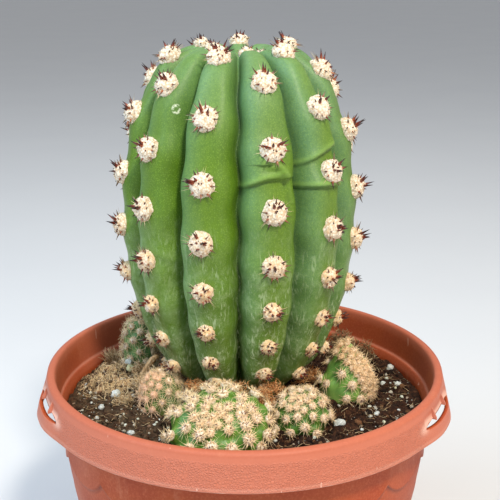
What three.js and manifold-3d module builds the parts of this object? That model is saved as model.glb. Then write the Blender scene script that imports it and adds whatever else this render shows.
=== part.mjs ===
// A columnar cactus with eleven ribs, its offsets crowded round its foot, in a terracotta-coloured
// plastic bowl pot with a flared skirt and three hanging slots. Millimetres, +Z up, the origin at the
// centre of the pot's foot, and -Y the side where most of the offsets stand.
import * as THREE from "three";
import Module from "manifold-3d";

const wasm = await Module();
wasm.setup();

// Pot
const potHeight = 140;
const footRadius = 61;
const bodyTopRadius = 99;
const bodyTopHeight = 122;
const bodyFullness = 2.1;
const wall = 1.8;
const wallColumns = 32;
const floorUnderside = 1.5;
const floorTop = 3.5;
const ledgeHeight = 123;
const ledgeWidth = 2.8;
const lipInnerRadius = 101.4;
const lipOuterRadius = 105.6;
const skirtRadius = 110;
const skirtHeight = 18;
const slotAngles = [-70, 66, 178].map(THREE.MathUtils.degToRad);
const slotHalfAngle = THREE.MathUtils.degToRad(11);
const slotHeight = 3.2;
const slotLevel = potHeight - 10.4;
const slotBulge = 2.4;
const drainHoles = 5;
const drainRadius = 5;
const drainCircle = 36;

// Overlapping scallops moulded on the pot's body
const scallops = 16;
const scallopColumns = 3;
const scallopRelief = 1.4;
const scallopDrop = 9;
const scallopRows = [104, 76];

// Soil
const soilLevel = 117;
const soilGap = 0.35;
// The bigger white perlite grains in the top of the soil: place and size
const perlite = [
  [-71, 0, 3.2], [-77, -14, 2], [46, -36, 3], [34, -43, 1.8], [82, 39, 2.4], [86, 14, 2.2],
  [-58, -42, 2], [70, -22, 1.7], [30, 84, 2.2], [-34, 82, 2],
];

// Main stem
const stemX = -3;
const stemY = 18;
const ribCount = 11;
const ribShares = [-1, -0.52, 0, 0.52];
const firstRib = THREE.MathUtils.degToRad(-16.4);
const sideTurn = THREE.MathUtils.degToRad(7.5);
const grooveDepth = 15;
const stemSharpness = 3.2;
const stemRows = 18;
const areoleRadius = 6.8;
const areoleHeight = 4.6;
const areoleSides = 5;
const spineLength = 6.2;
const spineRadius = 0.75;

// The stem's ridge line from the centre of the sunken crown down to the root, as radius and height
const stemRidge = [
  [0, 294], [9, 299], [18, 305.5], [29, 304.8], [39.5, 298.5], [49, 285.5], [56, 268.5],
  [60, 250], [62.2, 226], [61.6, 203], [59, 181], [54.6, 165], [48.8, 149.5], [41.5, 138], [33, 128], [26, 119],
  [22, 109], [14, 103], [0, 101],
];

// Offsets: foot, radius, height over the soil, lean, ribs, how big and how far apart the areoles are
// on a rib, and how long and how many the spines are
const offsetSharpness = 2.4;
const offsets = [
  { name: "offset_front", x: -12, y: -46.5, radius: 27.5, height: 24, lean: [-0.1, -0.1], ribs: 10,
    shares: [-1, -0.4, 0.4], rows: 7, pad: 3.9, pitch: 9.8, spine: 4.2, spines: 2 },
  { name: "offset_front_right", x: 29.5, y: -32, radius: 15.6, height: 19, lean: [0, -0.12], ribs: 8,
    shares: [-1, 0], rows: 6, pad: 3.1, pitch: 7.8, spine: 3.2, spines: 1 },
  { name: "offset_right", x: 54.5, y: 4, radius: 15.8, height: 26, lean: [0.4, 0.02], ribs: 8,
    shares: [-1, 0], rows: 7, pad: 3.4, pitch: 8.6, spine: 3.6, spines: 1 },
  { name: "offset_left_back", x: -63, y: 37, radius: 12.2, height: 35, lean: [-0.04, -0.06], ribs: 7,
    shares: [-1, 0], rows: 7, pad: 3.2, pitch: 9, spine: 3.4, spines: 1 },
  { name: "offset_left", x: -43, y: -11, radius: 12, height: 21, lean: [-0.14, -0.1], ribs: 7,
    shares: [-1, 0], rows: 6, pad: 2.9, pitch: 6.6, spine: 3, spines: 1 },
];

// Dead growth: a mat of dry roots and spines round one offset, a spent flower tube lying on it,
// a small tuft at the wall, and a flower stub between the stem and the front offsets
const dryMat = { x: -73.5, y: 18.5, radius: 16.5, height: 11.5 };
const dryTuft = { x: -78.5, y: 45.5, radius: 4, height: 12 };
const dryStub = { x: 9.5, y: -22.5, radius: 3.4, height: 19 };

// A repeatable random number from 0 to 1
function randomFrom(seed) {
  let state = seed;
  return () => {
    state = (state + 0x6d2b79f5) | 0;
    let t = Math.imul(state ^ (state >>> 15), 1 | state);
    t = (t + Math.imul(t ^ (t >>> 7), 61 | t)) ^ t;
    return ((t ^ (t >>> 14)) >>> 0) / 4294967296;
  };
}

const clamp01 = (t) => Math.min(1, Math.max(0, t));
const smooth = (low, high, value) => {
  const t = clamp01((value - low) / (high - low));
  return t * t * (3 - 2 * t);
};
const polar = (radius, angle, z) =>
  new THREE.Vector3(radius * Math.sin(angle), -radius * Math.cos(angle), z);
const fullTurn = 2 * Math.PI;

// A closed solid from rings of points: each ring is zipped to the next, and a ring of one point is a pole
function ringSolid(rings) {
  const points = rings.flat();
  const starts = [];
  rings.reduce((at, ring) => {
    starts.push(at);
    return at + ring.length;
  }, 0);
  const faces = [];
  for (let k = 0; k + 1 < rings.length; k++) {
    const a = rings[k].length;
    const b = rings[k + 1].length;
    const steps = Math.max(a, b);
    for (let j = 0; j < steps; j++) {
      const a0 = starts[k] + Math.floor((j * a) / steps);
      const a1 = starts[k] + (Math.floor(((j + 1) * a) / steps) % a);
      const b0 = starts[k + 1] + Math.floor((j * b) / steps);
      const b1 = starts[k + 1] + (Math.floor(((j + 1) * b) / steps) % b);
      if (b0 !== b1) faces.push([a0, b1, b0]);
      if (a0 !== a1) faces.push([a0, a1, b1]);
    }
  }
  const cross = new THREE.Vector3();
  const volume = faces.reduce(
    (sum, [a, b, c]) => sum + points[a].dot(cross.crossVectors(points[b], points[c])), 0);
  if (volume < 0) faces.forEach((face) => face.reverse());
  return new wasm.Manifold(
    new wasm.Mesh({
      numProp: 3,
      vertProperties: new Float32Array(points.flatMap((p) => p.toArray())),
      triVerts: new Uint32Array(faces.flat()),
    }),
  );
}

function meshOf(name, solid, colour, roughness) {
  const made = solid.getMesh();
  const geometry = new THREE.BufferGeometry();
  geometry.setAttribute("position", new THREE.BufferAttribute(new Float32Array(made.vertProperties), 3));
  geometry.setIndex(new THREE.BufferAttribute(new Uint32Array(made.triVerts), 1));
  geometry.computeVertexNormals();
  const material = new THREE.MeshStandardMaterial({ color: colour, roughness, metalness: 0 });
  const mesh = new THREE.Mesh(geometry, material);
  mesh.name = name;
  return mesh;
}

const joined = (solids) => solids.reduce((sum, solid) => sum.add(solid));

// Pot

const bodyRadius = (z) =>
  footRadius + (bodyTopRadius - footRadius) * (1 - Math.pow(1 - clamp01(z / bodyTopHeight), bodyFullness));

// How far the skirt bows out beside the nearest slot
function bulgeAt(angle) {
  const apart = slotAngles.map((slot) => Math.acos(Math.cos(angle - slot)));
  return slotBulge * (1 - smooth(slotHalfAngle * 0.25, slotHalfAngle * 1.5, Math.min(...apart)));
}

// Height of a scallop row's lower edge: cusps at the row's height, round drops between them
function scallopEdge(row, column) {
  const shift = row % 2 ? scallopColumns / 2 : 0;
  const u = (((column + shift) % scallopColumns) / scallopColumns) * 2 - 1;
  return scallopRows[row] - scallopDrop * (1 - Math.pow(Math.abs(u), 2.4));
}

function potSolid() {
  const columns = scallops * scallopColumns;
  const ring = (count, pointAt) =>
    Array.from({ length: count }, (_, j) => {
      const angle = (j / count) * fullTurn;
      const [radius, z] = pointAt(angle, j);
      return polar(radius, angle, z);
    });
  const level = (radius, z) => ring(columns, () => [radius, z]);
  const innerLevel = (radius, z) => ring(wallColumns, () => [radius, z]);
  const skirt = (drop, inset) =>
    ring(columns, (angle) => {
      const radius = THREE.MathUtils.lerp(lipOuterRadius, skirtRadius, drop / skirtHeight);
      return [radius - inset + bulgeAt(angle) * smooth(4, 11, drop), potHeight - drop];
    });
  const scallop = (row) => [
    ring(columns, (_, j) => [bodyRadius(scallopEdge(row, j)) + scallopRelief, scallopEdge(row, j)]),
    ring(columns, (_, j) => [bodyRadius(scallopEdge(row, j)), scallopEdge(row, j) - 0.8]),
  ];
  const innerHeights = [9, 24, 50, 82];
  let solid = ringSolid([
    [new THREE.Vector3(0, 0, floorTop)],
    innerLevel(footRadius - wall - 1, floorTop),
    ...innerHeights.map((z) => innerLevel(bodyRadius(z) - wall, z)),
    innerLevel(bodyTopRadius - wall, ledgeHeight),
    innerLevel(bodyTopRadius - wall + ledgeWidth, ledgeHeight + 1.4),
    innerLevel(lipInnerRadius, potHeight - 1.4),
    level(lipInnerRadius + 1.2, potHeight),
    level(lipOuterRadius - 0.8, potHeight),
    skirt(1.2, 0),
    skirt(slotHeight + 7.2, 0),
    skirt(skirtHeight, 0),
    skirt(skirtHeight, wall),
    level(lipInnerRadius + wall + 0.8, potHeight - 2),
    level(bodyTopRadius + ledgeWidth + 0.2, ledgeHeight + 1),
    level(bodyTopRadius, bodyTopHeight - 2.4),
    ...scallop(0),
    ...scallop(1),
    level(bodyRadius(46), 46),
    level(bodyRadius(22), 22),
    level(footRadius, 0),
    level(footRadius - 5, 0),
    level(footRadius - 6.5, floorUnderside),
    [new THREE.Vector3(0, 0, floorUnderside)],
  ]);
  slotAngles.forEach((middle) => {
    solid = solid.subtract(slotCutter(middle));
    [-0.44, 0.44].forEach((side) => {
      solid = solid.add(slotWeb(middle + side * slotHalfAngle));
    });
  });
  for (let k = 0; k < drainHoles; k++) {
    solid = solid.subtract(drainCutter((k / drainHoles) * fullTurn));
  }
  return solid;
}

// A block bent round the pot that opens one slot in the skirt
function slotCutter(middle) {
  const steps = 4;
  const inner = lipInnerRadius + wall + 1.7;
  const outer = skirtRadius + 6;
  const low = slotLevel - slotHeight / 2;
  const high = slotLevel + slotHeight / 2;
  return ringSolid([
    [polar((inner + outer) / 2, middle - slotHalfAngle, slotLevel)],
    ...Array.from({ length: steps + 1 }, (_, k) => {
      const angle = middle + slotHalfAngle * ((2 * k) / steps - 1);
      return [[inner, low], [outer, low], [outer, high], [inner, high]].map(([r, z]) => polar(r, angle, z));
    }),
    [polar((inner + outer) / 2, middle + slotHalfAngle, slotLevel)],
  ]);
}

// A small wedge on the shoulder over a slot
function slotWeb(angle) {
  const half = 0.011;
  const top = potHeight - 3;
  const foot = slotLevel + slotHeight / 2 + 0.2;
  const back = lipOuterRadius - 0.6;
  const ring = (a) => [polar(back, a, top), polar(back + 3.6, a, foot), polar(back, a, foot)];
  const middle = (a) => [polar(back + 1, a, (top + foot) / 2)];
  return ringSolid([middle(angle - half), ring(angle - half), ring(angle + half), middle(angle + half)]);
}

function drainCutter(angle) {
  const sides = 8;
  const middle = (z) => polar(drainCircle, angle, z);
  const ring = (z) =>
    Array.from({ length: sides }, (_, j) => polar(drainRadius, (j / sides) * fullTurn, 0).add(middle(z)));
  return ringSolid([[middle(-1)], ring(-1), ring(floorTop + 1), [middle(floorTop + 1)]]);
}

// Cactus bodies

// A smooth line through radius-height pairs, read by its length from the tip
function meridian(pairs) {
  const curve = new THREE.SplineCurve(pairs.map(([r, z]) => new THREE.Vector2(r, z)));
  curve.arcLengthDivisions = 400;
  const length = curve.getLength();
  return {
    length,
    at(s) {
      const u = clamp01(s / length);
      const point = curve.getPointAt(u);
      const along = curve.getTangentAt(u);
      return { r: Math.max(0, point.x), z: point.y, nr: -along.y, nz: along.x };
    },
  };
}

// A point on a ribbed body, sunk into its groove by depth, and the outward normal of its ridge line
function bodyPoint(line, s, angle, sink) {
  const at = line.at(s);
  const normal = polar(at.nr, angle, at.nz);
  const point = polar(at.r, angle, at.z).addScaledVector(normal, -sink);
  return { point, normal };
}

// Parts of a length from 0 to 1, closer together at its start
const rowsOf = (count) => Array.from({ length: count - 1 }, (_, k) => Math.pow((k + 1) / count, 1.2));

// Rings of a ribbed body. The shares say where each rib has its points: 0 on the ridge, -1 in the groove,
// and turn gives the direction of a rib, or of a place between two ribs.
function ribbedRings(line, ribs, shares, rows, turn, depthAt, sharpness) {
  const ringAt = (s) =>
    Array.from({ length: ribs * shares.length }, (_, j) => {
      const share = shares[j % shares.length];
      const angle = turn(Math.floor(j / shares.length) + share / 2);
      return bodyPoint(line, s, angle, depthAt(s) * Math.pow(Math.abs(share), sharpness)).point;
    });
  return [
    [polar(0, 0, line.at(0).z)],
    ...rows.map((row) => ringAt(row * line.length)),
    [polar(0, 0, line.at(line.length).z)],
  ];
}

// Points on a circle in the plane of two directions
const roundOf = (sides, centre, side, other, radius) =>
  Array.from({ length: sides }, (_, k) => {
    const turn = (k / sides) * fullTurn;
    return centre.clone()
      .addScaledVector(side, radius * Math.cos(turn))
      .addScaledVector(other, radius * Math.sin(turn));
  });

// A three-sided needle whose root is sunk behind its base point
function needle(base, direction, length, radius) {
  const side = new THREE.Vector3(0, 0, 1).cross(direction);
  if (side.length() < 0.1) side.set(1, 0, 0);
  side.normalize();
  const other = new THREE.Vector3().crossVectors(direction, side).normalize();
  const root = base.clone().addScaledVector(direction, -1.6);
  const ring = roundOf(3, root, side, other, radius);
  return ringSolid([[root], ring, [base.clone().addScaledVector(direction, length)]]);
}

// A woolly cushion on a rib with its spines: one stands up from the middle and the rest lean outwards
function areole(at, size, height, spines, reach, clear, random) {
  const up = new THREE.Vector3(0, 0, 1).addScaledVector(at.normal, -at.normal.z);
  if (up.length() < 0.05) up.set(1, 0, 0);
  up.normalize();
  const across = new THREE.Vector3().crossVectors(up, at.normal).normalize();
  const lift = (share, out, turn) => {
    const angle = turn + random() * 0.25;
    return at.point.clone()
      .addScaledVector(at.normal, height * out)
      .addScaledVector(up, size * 1.06 * share * Math.sin(angle))
      .addScaledVector(across, size * share * Math.cos(angle));
  };
  const ring = (share, out) =>
    Array.from({ length: areoleSides }, (_, k) => lift(share, out, (k / areoleSides) * fullTurn));
  const root = at.point.clone().addScaledVector(at.normal, -size * 1.5);
  const crown = at.point.clone().addScaledVector(at.normal, height);
  const made = [ringSolid([[root], ring(1, 0.55), [crown]])];
  const turn0 = random() * fullTurn;
  for (let k = 0; k < spines; k++) {
    const turn = turn0 + (k / Math.max(1, spines - 1)) * fullTurn;
    const outward = k === 0 ? 0.35 : 1.1 + random() * 0.5;
    const heading = up.clone().multiplyScalar(Math.sin(turn)).addScaledVector(across, Math.cos(turn));
    const direction = at.normal.clone().addScaledVector(heading, outward).normalize();
    const base = at.point.clone()
      .addScaledVector(at.normal, height * (k === 0 ? 0.85 : 0.5))
      .addScaledVector(heading, size * (k === 0 ? 0.15 : 0.6));
    const length = reach * (0.8 + 0.3 * random());
    const radius = spineRadius * smooth(0, 6, size);
    if (clear(base.clone().addScaledVector(direction, length + 0.6))) {
      made.push(needle(base, direction, length, radius));
    }
  }
  return made;
}

// What stays clear of what: rough outlines, each asked whether a point is outside it

const soilTop = (x, y) =>
  soilLevel +
  2.4 * Math.exp(-((x - stemX) ** 2 + (y - stemY) ** 2) / 2600) +
  7 * Math.exp(-((x - 62) ** 2 + (y - 50) ** 2) / 260) +
  0.9 * Math.sin(x * 0.19 + 1.3) * Math.cos(y * 0.23 - 0.6) +
  0.5 * Math.sin(x * 0.51 - y * 0.37);

const overSoil = (p, margin) => p.z > soilTop(p.x, p.y) + margin;
const inPot = (p) => Math.hypot(p.x, p.y) < bodyTopRadius - wall - 2.4 || p.z > potHeight + 4;

function outsideOffset(offset, p, margin) {
  const rise = p.z - soilLevel;
  const x = p.x - offset.x - offset.lean[0] * rise;
  const y = p.y - offset.y - offset.lean[1] * rise;
  const flat = Math.hypot(x, y) / (offset.radius + margin);
  const high = Math.max(0, rise - offset.height * 0.15) / (offset.height * 0.85 + margin);
  return flat * flat + high * high > 1;
}

function outsideStem(p, margin) {
  const line = stemLine;
  const radius = Math.hypot(p.x - stemX, p.y - stemY);
  for (let s = line.length * 0.3; s < line.length; s += 6) {
    const at = line.at(s);
    if (Math.abs(at.z - p.z) < 5 && radius < at.r + margin) return false;
  }
  return true;
}

const outsideDry = (p, margin) =>
  Math.hypot(p.x - dryMat.x, p.y - dryMat.y) > dryMat.radius + margin ||
  p.z > soilLevel + dryMat.height + margin;
const outsideStub = (p, margin) =>
  Math.hypot(p.x - dryStub.x, p.y - dryStub.y) > dryStub.radius + margin ||
  p.z > soilLevel + dryStub.height + margin;

function clearOfOthers(name, p, margin) {
  return (
    offsets.every((offset) => offset.name === name || outsideOffset(offset, p, margin)) &&
    (name === "stem" || outsideStem(p, margin)) &&
    outsideDry(p, margin) &&
    outsideStub(p, margin)
  );
}

// Main stem

const stemLine = meridian(stemRidge);
const stemDepth = (s) =>
  grooveDepth * smooth(2, 52, s) * (1 - smooth(stemLine.length * 0.8, stemLine.length * 0.93, s));

// Length down the ridge line of the areole that is so many steps from the crown's centre
const areoleStep = (x) => 38.2 * x - 1.4 * x * x;

// Direction of a rib: they are evenly spread, but those at the sides stand somewhat to the front
function ribTurn(rib) {
  const even = firstRib + (rib / ribCount) * fullTurn;
  return even - sideTurn * Math.pow(Math.sin(even), 7);
}

function stemSolid() {
  const random = randomFrom(11);
  const shift = new THREE.Vector3(stemX, stemY, 0);
  const rings = ribbedRings(
    stemLine, ribCount, ribShares, rowsOf(stemRows), ribTurn, stemDepth, stemSharpness);
  rings.flat().forEach((p) => p.add(shift));
  const solids = [ringSolid(rings)];
  const placed = [];
  for (let rib = 0; rib < ribCount; rib++) {
    const angle = ribTurn(rib);
    const offset = (rib * 5 / ribCount) % 1;
    for (let x = offset; x < 8.2; x += 1) {
      const s = areoleStep(x);
      if (s < 12) continue;
      const at = bodyPoint(stemLine, s, angle, 0);
      at.point.add(shift);
      const size = areoleRadius * (0.55 + 0.45 * smooth(8, 45, s)) * (1 - 0.32 * smooth(125, 205, s));
      const height = areoleHeight * (size / areoleRadius);
      const clear = (p) => overSoil(p, 2.5) && clearOfOthers("stem", p, 1.6);
      const tip = at.point.clone().addScaledVector(at.normal, height + 0.8);
      if (!clear(tip) || at.point.z < soilLevel + 12) continue;
      if (placed.some((p) => p.distanceTo(at.point) < size * 1.8)) continue;
      placed.push(at.point);
      solids.push(...areole(at, size, height, s < 50 || s > 150 ? 2 : 3, spineLength, clear, random));
    }
  }
  return joined(solids);
}

// Offsets

// Ridge line of an offset as radius and height over the soil, from its tip to its buried foot
function offsetRidge(offset) {
  const r = offset.radius;
  const h = offset.height;
  return [
    [0, h - 1.6], [0.22 * r, h - 0.2], [0.5 * r, 0.93 * h], [0.8 * r, 0.72 * h], [0.97 * r, 0.42 * h],
    [r, 0.14 * h], [0.93 * r, -0.5], [0.72 * r, -4], [0.38 * r, -6.5], [0, -7],
  ];
}

// Leans a body over about its foot and sets it in its place on the soil
function placement(offset) {
  const lean = new THREE.Vector3(offset.lean[0], offset.lean[1], 1).normalize();
  const turn = new THREE.Quaternion().setFromUnitVectors(new THREE.Vector3(0, 0, 1), lean);
  return new THREE.Matrix4().compose(
    new THREE.Vector3(offset.x, offset.y, soilLevel), turn, new THREE.Vector3(1, 1, 1));
}

function offsetSolid(offset, seed) {
  const random = randomFrom(seed);
  const line = meridian(offsetRidge(offset));
  const place = placement(offset);
  const part = (s) => s / line.length;
  const depth = (s) => 0.2 * offset.radius * smooth(0, 0.22, part(s)) * (1 - smooth(0.62, 0.78, part(s)));
  const turn = (rib) => (rib / offset.ribs) * fullTurn;
  const rings = ribbedRings(
    line, offset.ribs, offset.shares, rowsOf(offset.rows), turn, depth, offsetSharpness);
  rings.flat().forEach((p) => p.applyMatrix4(place));
  const solids = [ringSolid(rings)];
  const placed = [];
  for (let rib = 0; rib < offset.ribs; rib++) {
    const angle = turn(rib);
    for (let s = offset.pitch * (0.45 + 0.5 * (rib % 2)); s < line.length * 0.72; s += offset.pitch) {
      const at = bodyPoint(line, s, angle, 0);
      at.point.applyMatrix4(place);
      at.normal.transformDirection(place);
      const size = offset.pad * (0.75 + 0.25 * smooth(0, offset.radius, s));
      const height = size * 0.72;
      const clear = (p) => overSoil(p, 1.8) && inPot(p) && clearOfOthers(offset.name, p, 1.4);
      const tip = at.point.clone().addScaledVector(at.normal, height + 0.6);
      const edges = [0, 1, 2, 3].map((k) => tip.clone().add(polar(size, (k * Math.PI) / 2, -size)));
      if (![tip, ...edges].every(clear)) continue;
      if (placed.some((p) => p.distanceTo(at.point) < size * 1.75)) continue;
      placed.push(at.point);
      solids.push(...areole(at, size, height, offset.spines, offset.spine, clear, random));
    }
  }
  return joined(solids);
}

// A plain round hole for the part of a body below the given height, a little wider than the body
function socket(ridge, below, sides, place) {
  const grow = 1 / Math.cos(Math.PI / sides);
  const wider = ridge.filter(([r, z]) => r > 0 && z < below).map(([r, z]) => [r + 1, z - soilGap - 0.3]);
  const widest = Math.max(...wider.map(([r]) => r));
  const buried = [[widest, below], ...wider.filter(([, z]) => z < below - 8)];
  const rings = [
    [polar(0, 0, below)],
    ...buried.map(([r, z]) =>
      Array.from({ length: sides }, (_, j) => polar(r * grow, (j / sides) * fullTurn, z))),
    [polar(0, 0, ridge.at(-1)[1] - soilGap)],
  ];
  rings.flat().forEach((p) => p.applyMatrix4(place));
  return ringSolid(rings);
}

const offsetSocket = (offset, below) => socket(offsetRidge(offset), below, 14, placement(offset));

// Dead growth

// A low lump with a wrinkled skin, standing a little way into the soil
function lump(x, y, radius, height, seed, sink) {
  const random = randomFrom(seed);
  const columns = 12;
  const levels = [[0.45, 0.94], [0.8, 0.7], [0.98, 0.36], [0.94, 0.02], [0.7, -0.24]];
  const rings = levels.map(([flat, rise]) =>
    Array.from({ length: columns }, (_, j) => {
      const wrinkle = 1 - 0.16 * random();
      return polar(radius * flat * wrinkle, (j / columns) * fullTurn, soilLevel + height * rise)
        .add(new THREE.Vector3(x, y, 0));
    }));
  return ringSolid([
    [new THREE.Vector3(x, y, soilLevel + height)], ...rings, [new THREE.Vector3(x, y, soilLevel - sink)],
  ]);
}

// A spent flower tube: a bent taper along three points
function driedTube(points, thick, thin) {
  const sides = 6;
  const steps = 5;
  const curve = new THREE.CatmullRomCurve3(points);
  const rings = Array.from({ length: steps + 1 }, (_, k) => {
    const at = curve.getPointAt(k / steps);
    const along = curve.getTangentAt(k / steps);
    const side = new THREE.Vector3(0, 0, 1).cross(along).normalize();
    const other = new THREE.Vector3().crossVectors(along, side);
    const radius = THREE.MathUtils.lerp(thick, thin, k / steps) * (k % 2 ? 0.85 : 1);
    return roundOf(sides, at, side, other, radius);
  });
  return ringSolid([[points[0]], ...rings, [points[points.length - 1]]]);
}

const flowerPoints = [
  new THREE.Vector3(-63, 12.5, soilLevel + 4),
  new THREE.Vector3(-55.5, 7.5, soilLevel + 15),
  new THREE.Vector3(-50.5, 5, soilLevel + 25),
];

// The mat goes round the back left offset and carries the spent flower tube
function matSolid() {
  const { x, y, radius, height } = dryMat;
  const round = offsets.find((offset) => offset.name === "offset_left_back");
  return lump(x, y, radius, height, 31, 5)
    .subtract(offsetSocket(round, 30))
    .add(driedTube(flowerPoints, 2.6, 1.7));
}

const tuftSolid = (wider, sink) =>
  lump(dryTuft.x, dryTuft.y, dryTuft.radius + wider, dryTuft.height, 37, sink);

function stubSolid(wider) {
  const { x, y, radius, height } = dryStub;
  const points = [
    new THREE.Vector3(x, y, soilLevel - 4 - 0.6 * wider),
    new THREE.Vector3(x + 0.6, y - 0.4, soilLevel + height * 0.5),
    new THREE.Vector3(x - 0.4, y - 1, soilLevel + height),
  ];
  return driedTube(points, radius + wider, radius * 0.6 + wider);
}

// Soil

// The potting mix: a filled bowl with a crumbly top, white perlite in it and a plain hole for each stem
function soilSolid() {
  const random = randomFrom(71);
  const outer = (z) => bodyRadius(z) - wall - soilGap;
  const level = (count, radius, z) =>
    Array.from({ length: count }, (_, j) => polar(radius, (j / count) * fullTurn, z));
  const top = (count, radius, jitter) =>
    Array.from({ length: count }, (_, j) => {
      const p = polar(radius, ((j + 0.6 * (random() - 0.5) * jitter) / count) * fullTurn, 0);
      return p.setZ(soilTop(p.x, p.y) + (random() - 0.5) * 2.4 * jitter);
    });
  let solid = ringSolid([
    [new THREE.Vector3(0, 0, soilLevel)],
    top(12, 36, 0), top(32, 54, 1), top(36, 67, 1), top(40, 79, 1), top(40, 89, 1),
    level(wallColumns, outer(soilLevel) - 0.2, soilLevel - 0.6),
    ...[82, 50, 24, 9].map((z) => level(wallColumns, outer(z), z)),
    level(wallColumns, footRadius - wall - 1.6, floorTop + soilGap),
    [new THREE.Vector3(0, 0, floorTop + soilGap)],
  ]);
  perlite.forEach(([x, y, size]) => {
    solid = solid.add(grain(new THREE.Vector3(x, y, soilTop(x, y) + 0.6), size, random));
  });
  const holes = [
    socket(stemRidge, potHeight, 22, new THREE.Matrix4().makeTranslation(stemX, stemY, 0)),
    ...offsets.map((offset) => offsetSocket(offset, 9)),
    lump(dryMat.x, dryMat.y, dryMat.radius + 1.6, dryMat.height, 31, 6),
    tuftSolid(1, 4.6),
    stubSolid(1),
  ];
  return holes.reduce((rest, hole) => rest.subtract(hole), solid);
}

function grain(centre, size, random) {
  const along = (rise) => [centre.clone().setZ(centre.z + rise)];
  const ring = Array.from({ length: 6 }, (_, k) =>
    polar(size * (0.75 + 0.4 * random()), ((k + 0.3 * random()) / 6) * fullTurn, 0.3).add(centre));
  return ringSolid([along(-4), ring, along(size)]);
}

const plant = new THREE.Group();
plant.add(meshOf("pot", potSolid(), 0xc8644a, 0.6));
plant.add(meshOf("soil", soilSolid(), 0x3b2c20, 0.95));
plant.add(meshOf("stem", stemSolid(), 0x4f8a45, 0.5));
offsets.forEach((offset, k) => {
  plant.add(meshOf(offset.name, offsetSolid(offset, 101 + k), 0x58a034, 0.5));
});
plant.add(meshOf("dry_mat", matSolid(), 0x9a7c58, 0.95));
plant.add(meshOf("dry_tuft", tuftSolid(0, 4), 0x8a6e50, 0.95));
plant.add(meshOf("dry_flower_stub", stubSolid(0), 0x9c5a2a, 0.95));

export default plant;
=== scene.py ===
import math
import random

import bmesh
import bpy
import numpy as np
from mathutils import Matrix, Vector, noise


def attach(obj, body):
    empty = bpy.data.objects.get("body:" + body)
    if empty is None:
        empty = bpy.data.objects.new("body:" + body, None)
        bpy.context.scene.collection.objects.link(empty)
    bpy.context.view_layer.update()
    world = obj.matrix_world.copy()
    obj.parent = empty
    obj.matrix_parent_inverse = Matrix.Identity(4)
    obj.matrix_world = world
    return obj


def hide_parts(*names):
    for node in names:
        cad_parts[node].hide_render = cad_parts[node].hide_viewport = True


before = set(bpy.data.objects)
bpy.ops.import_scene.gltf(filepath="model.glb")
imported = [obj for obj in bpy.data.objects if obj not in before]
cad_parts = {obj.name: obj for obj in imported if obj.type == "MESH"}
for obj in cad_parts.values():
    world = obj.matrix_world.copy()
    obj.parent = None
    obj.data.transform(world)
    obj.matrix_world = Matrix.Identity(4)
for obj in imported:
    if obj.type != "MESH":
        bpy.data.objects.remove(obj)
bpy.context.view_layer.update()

mm = 0.001
fullTurn = 2 * math.pi
soilLevel = 117.0  # height of the potting mix in the pot, mm

# camera and light

look = {
    "place": (0.0028, -0.5039, 0.3545),
    "tilt": 73.2,  # degrees, 90 would look level
    "lens": 72.0,
    "sensor": 36.0,
    "nearest": 0.01,
    "aim": (0, 0, 0.17),  # where the lamps point
    "lamps": {  # place, size, power, colour
        "keyLight": ((0.36, -0.88, 1.30), 0.2, 20.0, (1.0, 0.93, 0.80)),
        "skyLight": ((-0.95, -0.5, 1.1), 1.1, 16.0, (0.62, 0.82, 1.0)),
        "warmLight": ((1.1, -0.3, 0.5), 0.6, 3.0, (1.0, 0.86, 0.66)),
        "topLight": ((0.1, 0.2, 1.5), 1.2, 4.0, (1, 1, 1)),
    },
    "roomColour": (0.82, 0.84, 0.86, 1),
    "roomStrength": 0.5,
}


def setLights():
    for name, (place, size, power, colour) in look["lamps"].items():
        lamp = bpy.data.lights.new(name, "AREA")
        lamp.size, lamp.energy, lamp.color = size, power, colour
        holder = bpy.data.objects.new(name, lamp)
        holder.location = place
        holder.rotation_euler = (Vector(look["aim"]) - Vector(place)).to_track_quat("-Z", "Y").to_euler()
        bpy.context.collection.objects.link(holder)
    world = bpy.data.worlds.new("studio")
    world.use_nodes = True
    ground = world.node_tree.nodes["Background"]
    ground.inputs["Color"].default_value = look["roomColour"]
    ground.inputs["Strength"].default_value = look["roomStrength"]
    bpy.context.scene.world = world
    bpy.context.scene.view_settings.view_transform = "Standard"


def setCamera():
    eye = bpy.data.objects.new("camera", bpy.data.cameras.new("camera"))
    eye.location = look["place"]
    eye.rotation_euler = (math.radians(look["tilt"]), 0, 0)
    eye.data.lens, eye.data.sensor_width, eye.data.clip_start = look["lens"], look["sensor"], look["nearest"]
    bpy.context.collection.objects.link(eye)
    bpy.context.scene.camera = eye


setCamera()
setLights()
print("camera and lights set")

# small tools for numbers, nodes and meshes


def smooth(low, high, value):
    t = np.clip((np.asarray(value, float) - low) / (high - low), 0, 1)
    return t * t * (3 - 2 * t)


def polar(r, angle, z):  # angle 0 is the front, a quarter turn is the right
    return np.stack(np.broadcast_arrays(r * np.sin(angle), -r * np.cos(angle), z), -1)


def capped(first, rows, last):  # values of the two poles round those of the rings between them
    return np.concatenate([[first], *rows, [last]])


def paint(red, green, blue):  # a screen colour, 0 to 255, as the shader wants it
    return (*[((c / 255 + 0.055) / 1.055) ** 2.4 if c > 10 else c / 255 / 12.92
              for c in (red, green, blue)], 1)


def put(tree, kind, inputs=None, **settings):  # one node, its settings, and its inputs as values or sockets
    node = tree.nodes.new(kind)
    for key, value in settings.items():
        setattr(node, key, value)
    for key, value in (inputs or {}).items():
        if isinstance(value, bpy.types.NodeSocket):
            tree.links.new(value, node.inputs[key])
        else:
            node.inputs[key].default_value = value
    return node


def finishOf(name, roughness, specular=0.5):
    material = bpy.data.materials.new(name)
    material.use_nodes = True
    tree = material.node_tree
    tree.nodes.clear()
    shader = put(tree, "ShaderNodeBsdfPrincipled", {"Roughness": roughness, "Specular IOR Level": specular})
    put(tree, "ShaderNodeOutputMaterial", {"Surface": shader.outputs[0]})
    return material, tree, shader


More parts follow.
